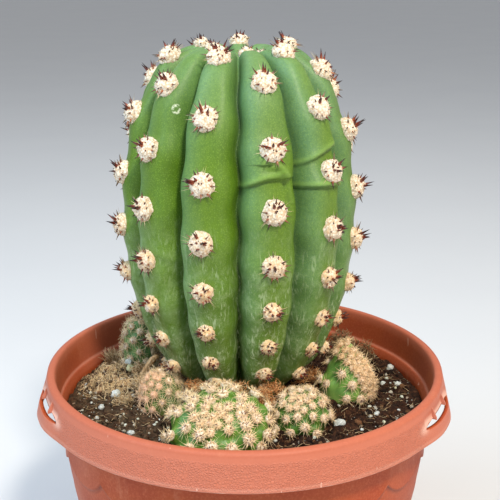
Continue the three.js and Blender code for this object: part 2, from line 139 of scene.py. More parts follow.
def spotOf(tree):
    return put(tree, "ShaderNodeTexCoord").outputs["Object"]


def axisOf(tree, vector, axis):  # 0, 1 or 2 for x, y or z
    return put(tree, "ShaderNodeSeparateXYZ", {0: vector}).outputs[axis]


def cloud(tree, scale, detail=3.0, roughness=0.5, stretch=None, turn=(0, 0, 0), distort=0.0):
    spot = spotOf(tree)
    if stretch:
        spot = put(tree, "ShaderNodeMapping", {"Vector": spot, "Rotation": turn, "Scale": stretch}).outputs[0]
    return put(tree, "ShaderNodeTexNoise", {
        "Vector": spot, "Scale": scale, "Detail": detail, "Roughness": roughness,
        "Distortion": distort}).outputs["Fac"]


def cells(tree, scale, feature="F1"):
    spot = spotOf(tree)
    return put(tree, "ShaderNodeTexVoronoi", {"Vector": spot, "Scale": scale},
               feature=feature).outputs["Distance"]


def mark(tree, name):
    return put(tree, "ShaderNodeAttribute", attribute_name=name).outputs["Fac"]


def level(tree, value, low, high, to0=0.0, to1=1.0):
    return put(tree, "ShaderNodeMapRange", {
        "Value": value, "From Min": low, "From Max": high, "To Min": to0, "To Max": to1}).outputs[0]


def maths(tree, operation, a, b):
    return put(tree, "ShaderNodeMath", {0: a, 1: b}, operation=operation).outputs[0]


def times(tree, a, b):
    return maths(tree, "MULTIPLY", a, b)


def tint(tree, factor, low, high):
    return put(tree, "ShaderNodeMix", {0: factor, 6: low, 7: high}, data_type="RGBA").outputs[2]


def coated(tree, colour, *coats):  # each coat: the pattern it follows, from, to, how strong, its colour
    for pattern, low, high, most, over in coats:
        colour = tint(tree, level(tree, pattern, low, high, 0, most), colour, over)
    return colour


def ramp(tree, factor, stops):
    node = put(tree, "ShaderNodeValToRGB", {"Fac": factor})
    band = node.color_ramp
    while len(band.elements) < len(stops):
        band.elements.new(0.5)
    for element, (place, colour) in zip(band.elements, stops):
        element.position = place
        element.color = colour
    return node.outputs["Color"]


def relief(tree, height, distance, strength=1.0, under=None):
    node = put(tree, "ShaderNodeBump", {"Height": height, "Distance": distance, "Strength": strength})
    if under is not None:
        tree.links.new(under, node.inputs["Normal"])
    return node.outputs[0]


def wear(tree, shader, colour, bumps=None, rough=None):
    for key, socket in (("Base Color", colour), ("Normal", bumps), ("Roughness", rough)):
        if socket is not None:
            tree.links.new(socket, shader.inputs[key])


def meshPiece(name, points, faces, material, soft=True, **marks):
    data = bpy.data.meshes.new(name)
    data.from_pydata((np.asarray(points, float) * mm).tolist(), [], faces)
    for key, values in marks.items():
        data.attributes.new(key, "FLOAT", "POINT").data.foreach_set("value", np.asarray(values, np.float32))
    if faces:
        data.polygons.foreach_set("use_smooth", [soft] * len(data.polygons))
    if material:
        data.materials.append(material)
    data.update()
    return linked(name, data)


def linked(name, data):
    piece = bpy.data.objects.new(name, data)
    bpy.context.collection.objects.link(piece)
    return piece


def ringFaces(rows, columns):  # pole first, rings after it, the other pole last
    faces = [(0, 1 + j, 1 + (j + 1) % columns) for j in range(columns)]
    for i in range(rows - 1):
        a, b = 1 + i * columns, 1 + (i + 1) * columns
        faces += [(a + j, b + j, b + (j + 1) % columns, a + (j + 1) % columns) for j in range(columns)]
    last = 1 + rows * columns
    a = last - columns
    faces += [(a + j, last, a + (j + 1) % columns) for j in range(columns)]
    return faces


def hand(piece, node):  # every piece rides on the one body and stands for its node
    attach(piece, "root")
    if node:
        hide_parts(node)
    return piece


def newTree(name, numbers):  # a Geometry Nodes tree with named number inputs
    tree = bpy.data.node_groups.new(name, "GeometryNodeTree")
    tree.interface.new_socket("Geometry", in_out="INPUT", socket_type="NodeSocketGeometry")
    tree.interface.new_socket("Geometry", in_out="OUTPUT", socket_type="NodeSocketGeometry")
    for label, value in numbers.items():
        kind = "NodeSocketInt" if isinstance(value, int) else "NodeSocketFloat"
        socket = tree.interface.new_socket(label, in_out="INPUT", socket_type=kind)
        socket.default_value = value
    source = tree.nodes.new("NodeGroupInput")
    return tree, source.outputs


def endTree(tree, geometry, material):
    whole = put(tree, "GeometryNodeRealizeInstances", {"Geometry": geometry})
    soft = put(tree, "GeometryNodeSetShadeSmooth", {"Geometry": whole.outputs[0]})
    dressed = put(tree, "GeometryNodeSetMaterial", {"Geometry": soft.outputs[0], "Material": material})
    put(tree, "NodeGroupOutput", {0: dressed.outputs[0]})
    return tree


def named(tree, name, kind="FLOAT"):
    return put(tree, "GeometryNodeInputNamedAttribute", {"Name": name}, data_type=kind).outputs[0]


def drawn(tree, low, high, seed, kind="FLOAT"):  # a random value for every element
    first, result = (2, 1) if kind == "FLOAT" else (0, 0)
    numbers = {first: low, first + 1: high, 8: seed}
    return put(tree, "FunctionNodeRandomValue", numbers, data_type=kind).outputs[result]


def stored(tree, geometry, name, value, domain):  # stores a value by name for the material
    return put(tree, "GeometryNodeStoreNamedAttribute", {"Geometry": geometry, "Name": name, "Value": value},
               data_type="FLOAT", domain=domain).outputs[0]


def standOn(tree, points, shape, turn, scale):
    return put(tree, "GeometryNodeInstanceOnPoints", {
        "Points": points, "Instance": shape, "Rotation": turn, "Scale": scale}).outputs[0]


def strewn(tree, given):  # points all over the seat's faces
    return put(tree, "GeometryNodeDistributePointsOnFaces", {
        "Mesh": given["Geometry"], "Density": given["Density"], "Seed": given["Seed"]}).outputs


def aimed(tree, aim):
    return put(tree, "FunctionNodeAlignRotationToVector", {"Vector": aim}, axis="Z").outputs[0]


def triple(tree, x, y=0.0, z=0.0):
    return put(tree, "ShaderNodeCombineXYZ", {0: x, 1: y, 2: z}).outputs[0]


def scaled(tree, vector, by):
    return put(tree, "ShaderNodeVectorMath", {0: vector, "Scale": by}, operation="SCALE").outputs[0]


def shifted(tree, geometry, offset):
    return put(tree, "GeometryNodeSetPosition", {"Geometry": geometry, "Offset": offset}).outputs[0]


def whereOf(tree):
    return put(tree, "GeometryNodeInputPosition").outputs[0]


def ballOf(tree, given):
    return put(tree, "GeometryNodeMeshIcoSphere", {"Radius": mm, "Subdivisions": given["Detail"]}).outputs[0]


def coneOf(tree, sides, **more):
    return put(tree, "GeometryNodeMeshCone", {
        "Vertices": sides, "Radius Top": 0.0, "Radius Bottom": mm, "Depth": mm,
        **more}, fill_type="NGON").outputs[0]


def grow(name, seat, tree, numbers, drop=()):  # runs the tree on the seat, keeps the result as a mesh
    run = seat.modifiers.new(tree.name, "NODES")
    run.node_group = tree
    for item in tree.interface.items_tree:
        if item.item_type == "SOCKET" and item.in_out == "INPUT" and item.name in numbers:
            run[item.identifier] = numbers[item.name]
    data = evaluated(seat)
    seat.modifiers.clear()
    for key in drop:
        if key in data.attributes:
            data.attributes.remove(data.attributes[key])
    data.name = name
    return linked(name, data)


def evaluated(piece):
    graph = bpy.context.evaluated_depsgraph_get()
    return bpy.data.meshes.new_from_object(
        piece.evaluated_get(graph), preserve_all_data_layers=True, depsgraph=graph)


def dropSeat(seat):
    data = seat.data
    bpy.data.objects.remove(seat)
    bpy.data.meshes.remove(data)


def seatOf(name, feet):  # bare points that a tree puts its shapes on
    seat = meshPiece(name, [foot["place"] for foot in feet], [], None)
    for key in feet[0]:
        if key == "place":
            continue
        kind, field = ("FLOAT_VECTOR", "vector") if key == "aim" else ("FLOAT", "value")
        values = np.array([foot[key] for foot in feet], np.float32).ravel()
        seat.data.attributes.new(key, kind, "POINT").data.foreach_set(field, values)
    return seat


def growOn(name, feet, tree, numbers, drop):
    seat = seatOf(name + "Feet", feet)
    piece = grow(name, seat, tree, numbers, drop)
    dropSeat(seat)
    return piece


def ridgeLine(pairs):  # a smooth line through pairs of radius and height, measured along its length
    p = np.array(pairs, float)
    n = len(p)
    t = np.linspace(0, n - 1, 3000)
    i = np.minimum(t.astype(int), n - 2)
    w = (t - i)[:, None]
    a, b, c, d = p[np.maximum(i - 1, 0)], p[i], p[i + 1], p[np.minimum(i + 2, n - 1)]
    v0, v1 = (c - a) / 2, (d - b) / 2
    q = (2 * b - 2 * c + v0 + v1) * w**3 + (-3 * b + 3 * c - 2 * v0 - v1) * w**2 + v0 * w + b
    length = np.concatenate([[0], np.cumsum(np.hypot(*np.diff(q, axis=0).T))])
    return {"r": q[:, 0], "z": q[:, 1], "s": length, "length": length[-1]}


def ridgeAt(line, s):  # radius, height and the outward direction of the line at that length
    s = np.clip(s, 0, line["length"])
    ahead, behind = np.minimum(s + 0.3, line["length"]), np.maximum(s - 0.3, 0)
    dr, dz = (np.interp(ahead, line["s"], line[key]) - np.interp(behind, line["s"], line[key])
              for key in "rz")
    size = np.hypot(dr, dz)
    return np.interp(s, line["s"], line["r"]), np.interp(s, line["s"], line["z"]), -dz / size, dr / size


def softNoise(points, scale, seed=0.0):  # soft noise from -1 to 1 at each point
    shift = Vector((seed, seed * 0.7, -seed))
    return np.array([noise.noise(Vector(p) / scale + shift) for p in points])


# potting mix level, also used to seat what lies on it

mix = {
    "mound": (62, 50, 7.0, 260),  # crumbly mound behind the right offset: x, y, height, spread
    "stemRise": (-3, 18, 2.4, 2600),  # the same round the stem
    "rings": 80,
    "columns": 240,
    "lumps": 2.1,
    "grain": 1.1,
}


def mixTop(x, y):
    mx, my, high, spread = mix["mound"]
    sx, sy, rise, wide = mix["stemRise"]
    return (soilLevel + rise * np.exp(-((x - sx) ** 2 + (y - sy) ** 2) / wide)
            + high * np.exp(-((x - mx) ** 2 + (y - my) ** 2) / spread)
            + 0.9 * np.sin(0.19 * x + 1.3) * np.cos(0.23 * y - 0.6) + 0.5 * np.sin(0.51 * x - 0.37 * y))


# pot

pot = {
    "height": 140.0, "footRadius": 61.0, "bodyTopRadius": 99.0, "bodyTopHeight": 122.0, "fullness": 2.1,
    "wall": 1.8, "lipOuter": 105.6, "skirtOuter": 110.0, "skirtHeight": 18.0, "columns": 264,
    "slots": (-70.0, 66.0, 178.0), "slotHalf": 11.0, "slotBulge": 2.4, "slotLow": 128.8, "slotHigh": 131.0,
    "slotSteps": 28, "slotReach": (104.9, 117.0),
    "drains": 5, "drainRadius": 5.0, "drainCircle": 36.0, "drainSides": 24,
    "scallops": 16, "scallopRows": ((104.0, 0.0), (76.0, 0.5)), "scallopDrop": 9.0, "scallopStep": 1.0,
    # where the painted pool of light on the inner wall lies, the painted light inside everywhere, and how
    # much more in the pool
    "sunlitTurn": -125.0, "innerSun": 0.27, "sunlitMore": 0.34,
    "webSides": (-0.44, 0.44), "webHalf": 0.0045,
    "web": ((104.4, 137.2), (106.5, 136.0), (107.6, 134.0), (108.9, 131.6), (109.2, 130.2), (105.6, 130.4)),
    "plastic": paint(165, 67, 16), "shaded": paint(154, 58, 22), "speck": paint(222, 124, 82),
    # the rim's tone is painted sheen and painted light, and the bleached tone paints white marks and
    # highlights
    "dusty": paint(210, 140, 106), "paintedLightTone": paint(194, 114, 90), "bleached": paint(232, 188, 170),
    # painted shade under the scallops' edges, then the nicks' colour
    "scallopShadeTone": paint(84, 30, 18), "nick": paint(240, 196, 178),
    # rows of the wall from the inside out, as radius and height or as drop under the lip
    "innerHeights": (5.5, 9, 14, 20, 28, 38, 50, 62, 74, 86, 97, 106, 113, 118),
    "ledge": ((97.5, 120.0), (98.5, 122.3), (98.8, 122.9), (99.5, 123.2), (99.95, 123.7), (100.15, 124.6),
              (100.4, 129), (100.9, 134), (101.35, 138.2), (101.7, 139.3), (102.4, 139.9), (103.6, 140.0),
              (104.7, 139.7)),
    "skirtDrops": (0.9, 1.8, 2.8, 3.6, 4.2, 5, 6, 7, 8, 8.6, 8.95, 9.3, 10, 10.8, 11.5, 12.1, 13, 14.2,
                   15.4, 16.6, 17.4, 17.8),
    "underDrops": (17.5, 15.5, 13, 11, 9, 7, 5),
    "neck": ((103.9, 137.6), (103.1, 136.4), (102.3, 132), (101.9, 126), (101.2, 122.5), (99.6, 120.4)),
    "bodyHeights": (60.0, 52, 44, 34, 24, 15, 8, 3, 1, 0.35),
    "foot": ((60.2, 0), (56.2, 0), (55.2, 0.4), (54.5, 1.5)),
}


def bodyRadius(z):
    full = 1 - (1 - np.clip(z / pot["bodyTopHeight"], 0, 1)) ** pot["fullness"]
    return pot["footRadius"] + (pot["bodyTopRadius"] - pot["footRadius"]) * full


def toSlot(angle):  # degrees to the nearest slot's middle
    degrees = np.degrees(angle)
    return np.min([np.abs((degrees - slot + 180) % 360 - 180) for slot in pot["slots"]], axis=0)


def skirtPoint(angle, drop, inset=0.0, face=True):
    lean = pot["lipOuter"] + (pot["skirtOuter"] - pot["lipOuter"]) * drop / pot["skirtHeight"]
    near = 1 - smooth(2.75, 16.5, toSlot(angle))
    pocket = 1 - smooth(pot["slotHalf"] - 1.2, pot["slotHalf"] + 0.6, toSlot(angle))
    swell = pot["slotBulge"] * near * smooth(4, 11, drop)
    hollow = 0.9 * smooth(2.2, 7.5, drop) * (1 - smooth(8.7, 9.2, drop))
    dent = pocket * (hollow + swell * (1 - smooth(8.9, 11.9, drop)))
    return lean - inset + swell - (dent if face else dent * 0.5), pot["height"] - drop + 0 * angle


def scallopEdge(angle, middle, shift):
    across = (angle / fullTurn * pot["scallops"] + shift) % 1 * 2 - 1
    return middle - pot["scallopDrop"] * (1 - np.abs(across) ** 2.4)


def potRows(angle):  # radius, height and whether it is on the skirt's face
    flat = 0 * angle

    def even(pairs):
        return [(r + flat, z + flat, 0) for r, z in pairs]

    rows = even((58.2 * part, 3.5) for part in (0.12, 0.3, 0.5, 0.6, 0.7, 0.85, 1.0))
    rows += even((bodyRadius(z) - pot["wall"], z) for z in pot["innerHeights"])
    rows += even(pot["ledge"])
    rows += [(*skirtPoint(angle, drop), 1) for drop in pot["skirtDrops"]]
    rows += [(*skirtPoint(angle, 18.0, 0.4), 1), (*skirtPoint(angle, 18.0, 1.4), 0)]
    rows += [(*skirtPoint(angle, drop, 1.8, False), 0) for drop in pot["underDrops"]]
    rows += even(pot["neck"])
    below = 118.4 + flat
    for middle, shift in pot["scallopRows"]:
        edge = scallopEdge(angle, middle, shift)
        for part in (0.0, 0.08, 0.3, 0.6, 0.85, 0.95, 1.0):
            z = below + (edge - below) * part
            rows.append((bodyRadius(z) + pot["scallopStep"] * (0.15 * part + 0.85 * part**3), z, 0))
        rows.append((bodyRadius(edge - 0.5) + 0.15, edge - 0.5, 0))
        below = edge - 1.2
    rows += even((bodyRadius(z) - (0.4 if z < 1 else 0), z) for z in pot["bodyHeights"])
    rows += even(pot["foot"])
    return rows + even((54.5 * part, 1.5) for part in (0.9, 0.78, 0.66, 0.56, 0.4, 0.2))


def scallopShadeAt(angle, r, z):  # painted shade just under the scallops' edges, most at their cusps
    dark = np.zeros_like(angle)
    for middle, shift in pot["scallopRows"]:
        edge = scallopEdge(angle, middle, shift)
        cusp = smooth(pot["scallopDrop"] * 0.6, 0, middle - edge)
        dark = np.maximum(dark, np.exp(-(((z - edge + 0.85) / 0.62) ** 2)) * (0.5 + 0.5 * cusp))
    return dark * (r > bodyRadius(z) - 0.9)


def potPlastic():
    material, tree, shader = finishOf("terracottaPlastic", 0.52, 0.35)
    patchy = cloud(tree, 38, 4, 0.6)
    nicks = cloud(tree, 300, 2, 0.5, stretch=(1, 1, 0.25), turn=(0.2, 0.3, 0))
    colour = coated(
        tree, pot["plastic"],
        (patchy, 0.35, 0.7, 1, pot["shaded"]),
        (cloud(tree, 900, 2, 0.6), 0.45, 0.75, 0.25, pot["speck"]),
        (cloud(tree, 120, 5, 0.7, stretch=(1, 1, 0.5)), 0.56, 0.76, 0.3, pot["dusty"]),
        # painted sheen on the rim and skirt, and painted light on the inner wall
        (mark(tree, "sunned"), 0, 1, 0.8, pot["paintedLightTone"]),
        # paler marks round the slots and on the hem, and a painted highlight along the ledge
        (mark(tree, "bleach"), 0, 1, 1, pot["bleached"]),
        # painted shade under the scallops' edges
        (mark(tree, "scallopShade"), 0, 1, 0.9, pot["scallopShadeTone"]),
        (nicks, 0.74, 0.76, 0.4, pot["nick"]))
    leather = times(tree, level(tree, cells(tree, 820, "DISTANCE_TO_EDGE"), 0.0, 0.28), mark(tree, "grained"))
    bumps = relief(tree, cloud(tree, 500, 3, 0.6), 0.0001, 0.35, relief(tree, leather, 0.0003, 0.9))
    wear(tree, shader, colour, bumps, level(tree, patchy, 0.3, 0.7, 0.46, 0.6))
    return material


def potMarks(angle, r, z, outer, burr):
    drop, beside = pot["height"] - z, toSlot(angle)
    slotSide = 1 - smooth(9.0, 14.0, beside)
    panel = slotSide * smooth(5.8, 8.2, drop) * (1 - smooth(9.4, 10.2, drop)) * 0.7
    ends = np.exp(-(((beside - 12.0) / 1.6) ** 2)) * np.exp(-(((drop - 10.2) / 1.8) ** 2)) * 0.7
    hem = smooth(17.3, 18.0, drop) * (0.35 + 0.65 * burr) if outer else 0 * angle
    worn = 0.16 if 123.1 < z[0] < 124 else 0.0  # a painted highlight along the edge of the ledge
    # a painted pool of light on the inner wall at the back left, and a little painted light all round inside
    # above the mix
    sunlit = smooth(0.93, 0.99, np.cos(angle - math.radians(pot["sunlitTurn"])))
    inner = (pot["innerSun"] + pot["sunlitMore"] * sunlit) * smooth(117.5, 119, z)
    # painted sheen over the skirt's face and the rim's top
    top = np.maximum(outer, smooth(134, 139, z)) * (0.75 + 0.25 * smooth(0.9, 3, drop))
    # paler over each slot's recessed panel, at its ends and on the hem's burr, plus a painted highlight along
    # the ledge
    return {"bleach": np.clip((panel + ends) * outer + hem, 0, 1) + worn,
            "grained": outer * smooth(4.0, 5.4, drop) * (1 - smooth(17.0, 17.8, drop)) * (1 - 0.8 * slotSide),
            "sunned": np.maximum(top, inner) + 0 * angle,
            "scallopShade": scallopShadeAt(angle, r, z) * (1 - outer)}


def makePot():
    columns = pot["columns"]
    angle = np.arange(columns) / columns * fullTurn
    rows = potRows(angle)
    burr = np.random.default_rng(3).random(columns) ** 6
    marks = [potMarks(angle, *row, burr) for row in rows]
    points = capped([0, 0, 3.5], [polar(r, angle, z) for r, z, _ in rows], [0, 0, 1.5])
    faces = [face[::-1] for face in ringFaces(len(rows), columns)]
    piece = meshPiece("pot_shell", points, faces, potPlastic(),
                      **{key: capped(0.0, [own[key] for own in marks], 0.0) for key in marks[0]})
    cutters = [slotCutter(slot) for slot in pot["slots"]]
    cutters += [drainCutter(k / pot["drains"] * fullTurn) for k in range(pot["drains"])]
    cut = meshPiece("potCutters", *joined(cutters), None)
    hole = piece.modifiers.new("holes", "BOOLEAN")
    hole.operation, hole.solver, hole.object = "DIFFERENCE", "EXACT", cut
    data = evaluated(piece)
    piece.modifiers.clear()
    old, piece.data = piece.data, data
    bpy.data.meshes.remove(old)
    dropSeat(cut)
    return piece


def joined(blocks):  # several blocks of points and faces as one
    faces, first = [], 0
    for points, own in blocks:
        faces += [tuple(first + k for k in face) for face in own]
        first += len(points)
    return np.concatenate([points for points, own in blocks]), faces


def tubeFaces(sides, first=0):  # between two loops that follow each other
    return [(first + k, first + (k + 1) % sides, first + sides + (k + 1) % sides, first + sides + k)
            for k in range(sides)]


def slotCutter(slot):  # a curved bar through the skirt, thin at its ends
    steps, points = pot["slotSteps"], []
    near, far = pot["slotReach"]
    middle = 0.5 * (pot["slotLow"] + pot["slotHigh"])
    for i in range(steps + 1):
        share = i / steps * 2 - 1
        opened = max(0.0, 1 - abs(share) ** 2.6) ** 0.5
        half = 0.12 + (pot["slotHigh"] - pot["slotLow"]) * 0.5 * opened
        angle = math.radians(slot + share * pot["slotHalf"])
        points += [polar(r, angle, middle + z)
                   for r, z in ((near, -half), (far, -half), (far, half), (near, half))]
    faces = [(0, 1, 2, 3), tuple(steps * 4 + k for k in (3, 2, 1, 0))]
    for i in range(steps):
        faces += [(a, d, c, b) for a, b, c, d in tubeFaces(4, i * 4)]
    return np.array(points), faces


def drainCutter(turn):
    sides = pot["drainSides"]
    x, y, _ = polar(pot["drainCircle"], turn, 0.0)
    points = [(x + pot["drainRadius"] * math.cos(a), y + pot["drainRadius"] * math.sin(a), z)
              for z in (-1.0, 5.0) for a in np.arange(sides) / sides * fullTurn]
    return np.array(points), [tuple(range(sides))[::-1], tuple(range(sides, 2 * sides))] + tubeFaces(sides)


def makeWebs(material):  # two thin wedges that cross each slot
    blocks, corners = [], len(pot["web"])
    for slot in pot["slots"]:
        for side in pot["webSides"]:
            angle = math.radians(slot + side * pot["slotHalf"])
            ring = [polar(r, angle + half, z)
                    for half in (-pot["webHalf"], pot["webHalf"]) for r, z in pot["web"]]
            faces = [tuple(range(corners)), tuple(range(corners, 2 * corners))[::-1]]
            faces += [(a, d, c, b) for a, b, c, d in tubeFaces(corners)]
            blocks.append((np.array(ring), faces))
    points, faces = joined(blocks)
    # the webs take the painted sheen in full and a little of the paler marks
    return meshPiece("pot_slot_webs", points, faces, material, soft=False, bleach=np.full(len(points), 0.1),
                     grained=np.zeros(len(points)), sunned=np.ones(len(points)))


potPiece = hand(makePot(), "pot")
hand(makeWebs(potPiece.data.materials[0]), None)
print("pot made,", len(potPiece.data.polygons), "faces")

# main stem

stem = {
    "axis": (-3.0, 18.0), "ribs": 11, "firstRib": -16.4, "sideTurn": 7.5,
    "grooveDepth": 15.0, "grooveShape": 4.4,
    "ridge": [(0, 294), (9, 299), (18, 305.5), (29, 304.8), (39.5, 298.5), (49, 285.5), (56, 268.5),
              (60, 250), (62.2, 226), (61.6, 203), (59, 181), (54.6, 165), (48.8, 149.5), (41.5, 138),
              (33, 128), (26, 119), (22, 109), (14, 103), (0, 101)],
    "rows": 145, "foldRows": 80, "foldSpan": (80.0, 116.0), "columnsPerRib": 20,
    "swell": 0.8,  # how far a rib stands out at an areole
    "wave": 1.1,  # how far it dips above an areole and bulges below it
    "sway": 0.075,  # how far a groove bends away from an areole, as a share of the rib
    "folds": [  # rib, points as share of the rib and length from the crown, width, depth, lift above
        (1, ((-0.98, 104.6), (-0.6, 102.4), (-0.3, 100.6), (0.08, 99.4)), 0.8, 1.3, 1.9),
        (1, ((-0.1, 92.0), (0.14, 95.5), (0.3, 99.0)), 0.9, 0.9, 1.6),
        (1, ((0.3, 99.0), (0.42, 105.0), (0.5, 112.0)), 0.7, 0.8, 0.4),
        (2, ((-1.0, 106.0), (-0.5, 106.2), (0.25, 107.2)), 0.8, 1.2, 2.0),
        (2, ((-1.0, 95.5), (-0.5, 92.4), (0.0, 90.0), (0.5, 88.0)), 1.3, 0.9, 1.7),
        (10, ((0.9, 146.0), (0.4, 142.0), (-0.1, 141.0)), 2.6, 0.7, 0.6),
        (6, ((-0.9, 120.0), (-0.2, 116.0), (0.5, 118.0)), 1.6, 1.2, 1.0),
    ],
    "padSize": 6.2, "padRise": 5.4, "spineTop": 313.6,
    "scar": (10, 0.7, 66.2),  # rib, share of the rib, length from the crown
    "tones": {
        # some tones here are painted: the bluish bloom tones also paint sky reflection and sheen, the deep
        # and crease tones paint shade in grooves and creases, and the roll tone paints a highlight
        "bright": paint(88, 121, 13), "cool": paint(76, 109, 23), "deep": paint(38, 66, 16),
        "pale": paint(110, 138, 28), "bloomAndSkyReflection": paint(106, 148, 122), "crownBloomAndSheen": paint(136, 182, 158),
        "speck": paint(142, 174, 76), "mottle": paint(56, 92, 30), "aged": paint(98, 130, 52),
        "chalk": paint(172, 196, 150), "scratch": paint(200, 216, 176), "foot": paint(92, 78, 46),
        "creaseShade": paint(56, 86, 30), "roll": paint(146, 184, 92), "scar": paint(214, 222, 196)},
}
stemLine = ridgeLine(stem["ridge"])


def stemDepth(s):
    foot = smooth(stemLine["length"] * 0.8, stemLine["length"] * 0.93, s)
    return stem["grooveDepth"] * smooth(2, 52, s) * (1 - foot)


def ribTurn(rib):  # direction of a rib, those at the sides stand somewhat to the front
    even = math.radians(stem["firstRib"]) + rib * fullTurn / stem["ribs"]
    return even - math.radians(stem["sideTurn"]) * np.sin(even) ** 7


def areoleLengths(rib):  # where a rib bears its areoles, as lengths from the crown
    first, found = (rib * 5 / stem["ribs"]) % 1, []
    for step in range(9):
        x = first + step
        s = 38.2 * x - 1.4 * x * x
        if x < 8.2 and s >= 12 and ridgeAt(stemLine, s)[1] > soilLevel + 12:
            found.append(s)
    return found


ribAreoles = [areoleLengths(rib) for rib in range(stem["ribs"])]


def swellOf(rib, s):
    return sum(np.exp(-(((s - own) / 8.5) ** 2)) for own in ribAreoles[rib % stem["ribs"]])


def waveOf(rib, s):
    return sum((s - own) / 9 * np.exp(0.5 - 0.5 * ((s - own) / 9) ** 2) for own in ribAreoles[rib])


def foldRelief(rib, share, s, radius):  # how far the skin stands out, painted shade in the crease, painted highlight on the roll
    out, creaseShade, rolled = np.zeros_like(s), np.zeros_like(s), np.zeros_like(s)
    half = radius * math.pi / stem["ribs"]
    for own, path, width, depth, lift in stem["folds"]:
        if own != rib:
            continue
        best, side = np.full_like(s, 1e9), np.zeros_like(s)
        for (h0, s0), (h1, s1) in zip(path, path[1:]):
            ax, ay = (share - h0) * half, s - s0
            bx, by = (h1 - h0) * half, s1 - s0
            t = np.clip((ax * bx + ay * by) / (bx * bx + by * by), 0, 1)
            dx, dy = ax - bx * t, ay - by * t
            far = np.hypot(dx, dy)
            side = np.where(far < best, dy, side)
            best = np.minimum(far, best)
        cut, above = np.exp(-((best / width) ** 2)), side < 0
        # a band above each crease where a painted highlight lies on the roll
        band = np.where(above, np.exp(-(((best - 2.4) / 1.3) ** 2)), 0)
        creaseShade = np.maximum(creaseShade, cut * min(1.0, depth / 2))
        rolled = np.maximum(rolled, band * min(1.0, lift / 2))
        roll = best / 2.0  # rolled out above, hollow below
        out += lift * np.where(above, 1.0, -0.45) * roll * np.exp(1 - roll) - depth * cut
    return out, creaseShade, rolled


def stemPoint(rib, share, s):  # arrays in, points out
    r, z, nr, nz = ridgeAt(stemLine, s)
    here, left, right = swellOf(rib, s), swellOf(rib - 1, s), swellOf(rib + 1, s)
    bend = np.where(share > 0, here - right, left - here) * stem["sway"] * share**2 * smooth(30, 70, s)
    sink = stemDepth(s) * np.abs(share) ** stem["grooveShape"]
    lift = stem["swell"] * (here - 0.45) * (1 - share**2) * smooth(8, 40, s) * (1 - smooth(225, 245, s))
    lift += stem["wave"] * waveOf(rib, s) * (1 - share**2) * smooth(20, 50, s) * (1 - smooth(215, 240, s))
    out = lift - sink + foldRelief(rib, share, s, r)[0]
    angle = ribTurn(rib + (share + bend) / 2)
    radius = np.maximum(r + nr * out, 0)
    x, y = stem["axis"]
    return np.stack([x + radius * np.sin(angle), y - radius * np.cos(angle), z + nz * out], -1)


def stemSkin():
    material, tree, shader = finishOf("stemSkin", 0.48, 0.36)
    tone, along = stem["tones"], mark(tree, "along")
    broad, mottled = cloud(tree, 26, 4, 0.55, stretch=(1, 1, 0.45)), cloud(tree, 700, 5, 0.75)
    # a bluish waxy bloom and a painted reflection of the sky on the left flank of every rib
    bloomAndSkyReflection = times(tree, mark(tree, "leftFlank"), level(tree, cloud(tree, 60, 3, 0.6), 0.3, 0.7, 0.75, 1.1))
    # a bluish waxy bloom and a painted sheen over the crown
    crownBloomAndSheen = times(tree, level(tree, along, 0.34, 0.08),
                 level(tree, cloud(tree, 45, 3, 0.6), 0.3, 0.65, 0.5, 1))
    low = level(tree, along, 0.42, 0.8)  # older, duller and bluer toward the foot
    # lime marks and scratches on the lower half
    slant = cloud(tree, 620, 3, 0.6, stretch=(1.0, 1.0, 0.2), turn=(0.5, 0.65, 0.0), distort=0.6)
    other = cloud(tree, 540, 3, 0.6, stretch=(1.0, 1.0, 0.24), turn=(-0.6, -0.5, 0.3), distort=0.6)
    lines = maths(tree, "MAXIMUM", level(tree, slant, 0.56, 0.66), level(tree, other, 0.58, 0.68))
    film = level(tree, cloud(tree, 170, 8, 0.85), 0.48, 0.64, 0, 0.6)
    patches = times(tree, level(tree, cloud(tree, 60, 4, 0.65), 0.34, 0.54), low)
    worn = times(tree, maths(tree, "MAXIMUM", lines, film), patches)
    spot = spotOf(tree)
    side = level(tree, axisOf(tree, spot, 0), -0.005, -0.045)
    chalky = times(tree, level(tree, cloud(tree, 110, 8, 0.85), 0.4, 0.66), times(tree, side, low))
    # a small round scar
    rib, share, s = stem["scar"]
    centre = tuple(stemPoint(rib, np.array(share), np.array(s)) * mm)
    away = put(tree, "ShaderNodeVectorMath", {0: spot, 1: centre}, operation="DISTANCE").outputs["Value"]
    scar = times(tree, level(tree, away, 0.0027, 0.0019), level(tree, away, 0.0007, 0.0016))
    scar = times(tree, scar, level(tree, cloud(tree, 800, 3, 0.6), 0.42, 0.58))
    colour = coated(
        tree, tone["bright"],
        (broad, 0.36, 0.66, 1, tone["cool"]),
        (bloomAndSkyReflection, 0, 1, 0.5, tone["bloomAndSkyReflection"]),
        (mark(tree, "ridge"), 0, 1, 0.35, tone["pale"]),
        # painted shade in the grooves between the ribs
        (mark(tree, "groove"), 0.72, 0.95, 0.85, tone["deep"]),
        (crownBloomAndSheen, 0, 1, 0.32, tone["crownBloomAndSheen"]),
        (cells(tree, 1300), 0.45, 0.0, 0.5, tone["speck"]),
        (mottled, 0.46, 0.72, 0.42, tone["mottle"]),
        (low, 0, 1, 0.45, tone["aged"]),
        (chalky, 0, 1, 0.7, tone["chalk"]),
        (worn, 0, 1, 0.9, tone["scratch"]),
        (along, 0.86, 0.97, 0.85, tone["foot"]),
        # painted shade in the folds' creases
        (mark(tree, "creaseShade"), 0, 1, 0.6, tone["creaseShade"]),
        # painted highlight on the roll above each crease
        (mark(tree, "roll"), 0, 1, 0.4, tone["roll"]),
        (scar, 0, 1, 1, tone["scar"]))
    bumps = relief(tree, mottled, 0.0003, 0.35, relief(tree, cloud(tree, 1700, 2, 0.6), 0.00016, 0.7))
    wear(tree, shader, colour, relief(tree, worn, 0.00012, 0.5, bumps),
         level(tree, broad, 0.3, 0.7, 0.4, 0.54))
    return material


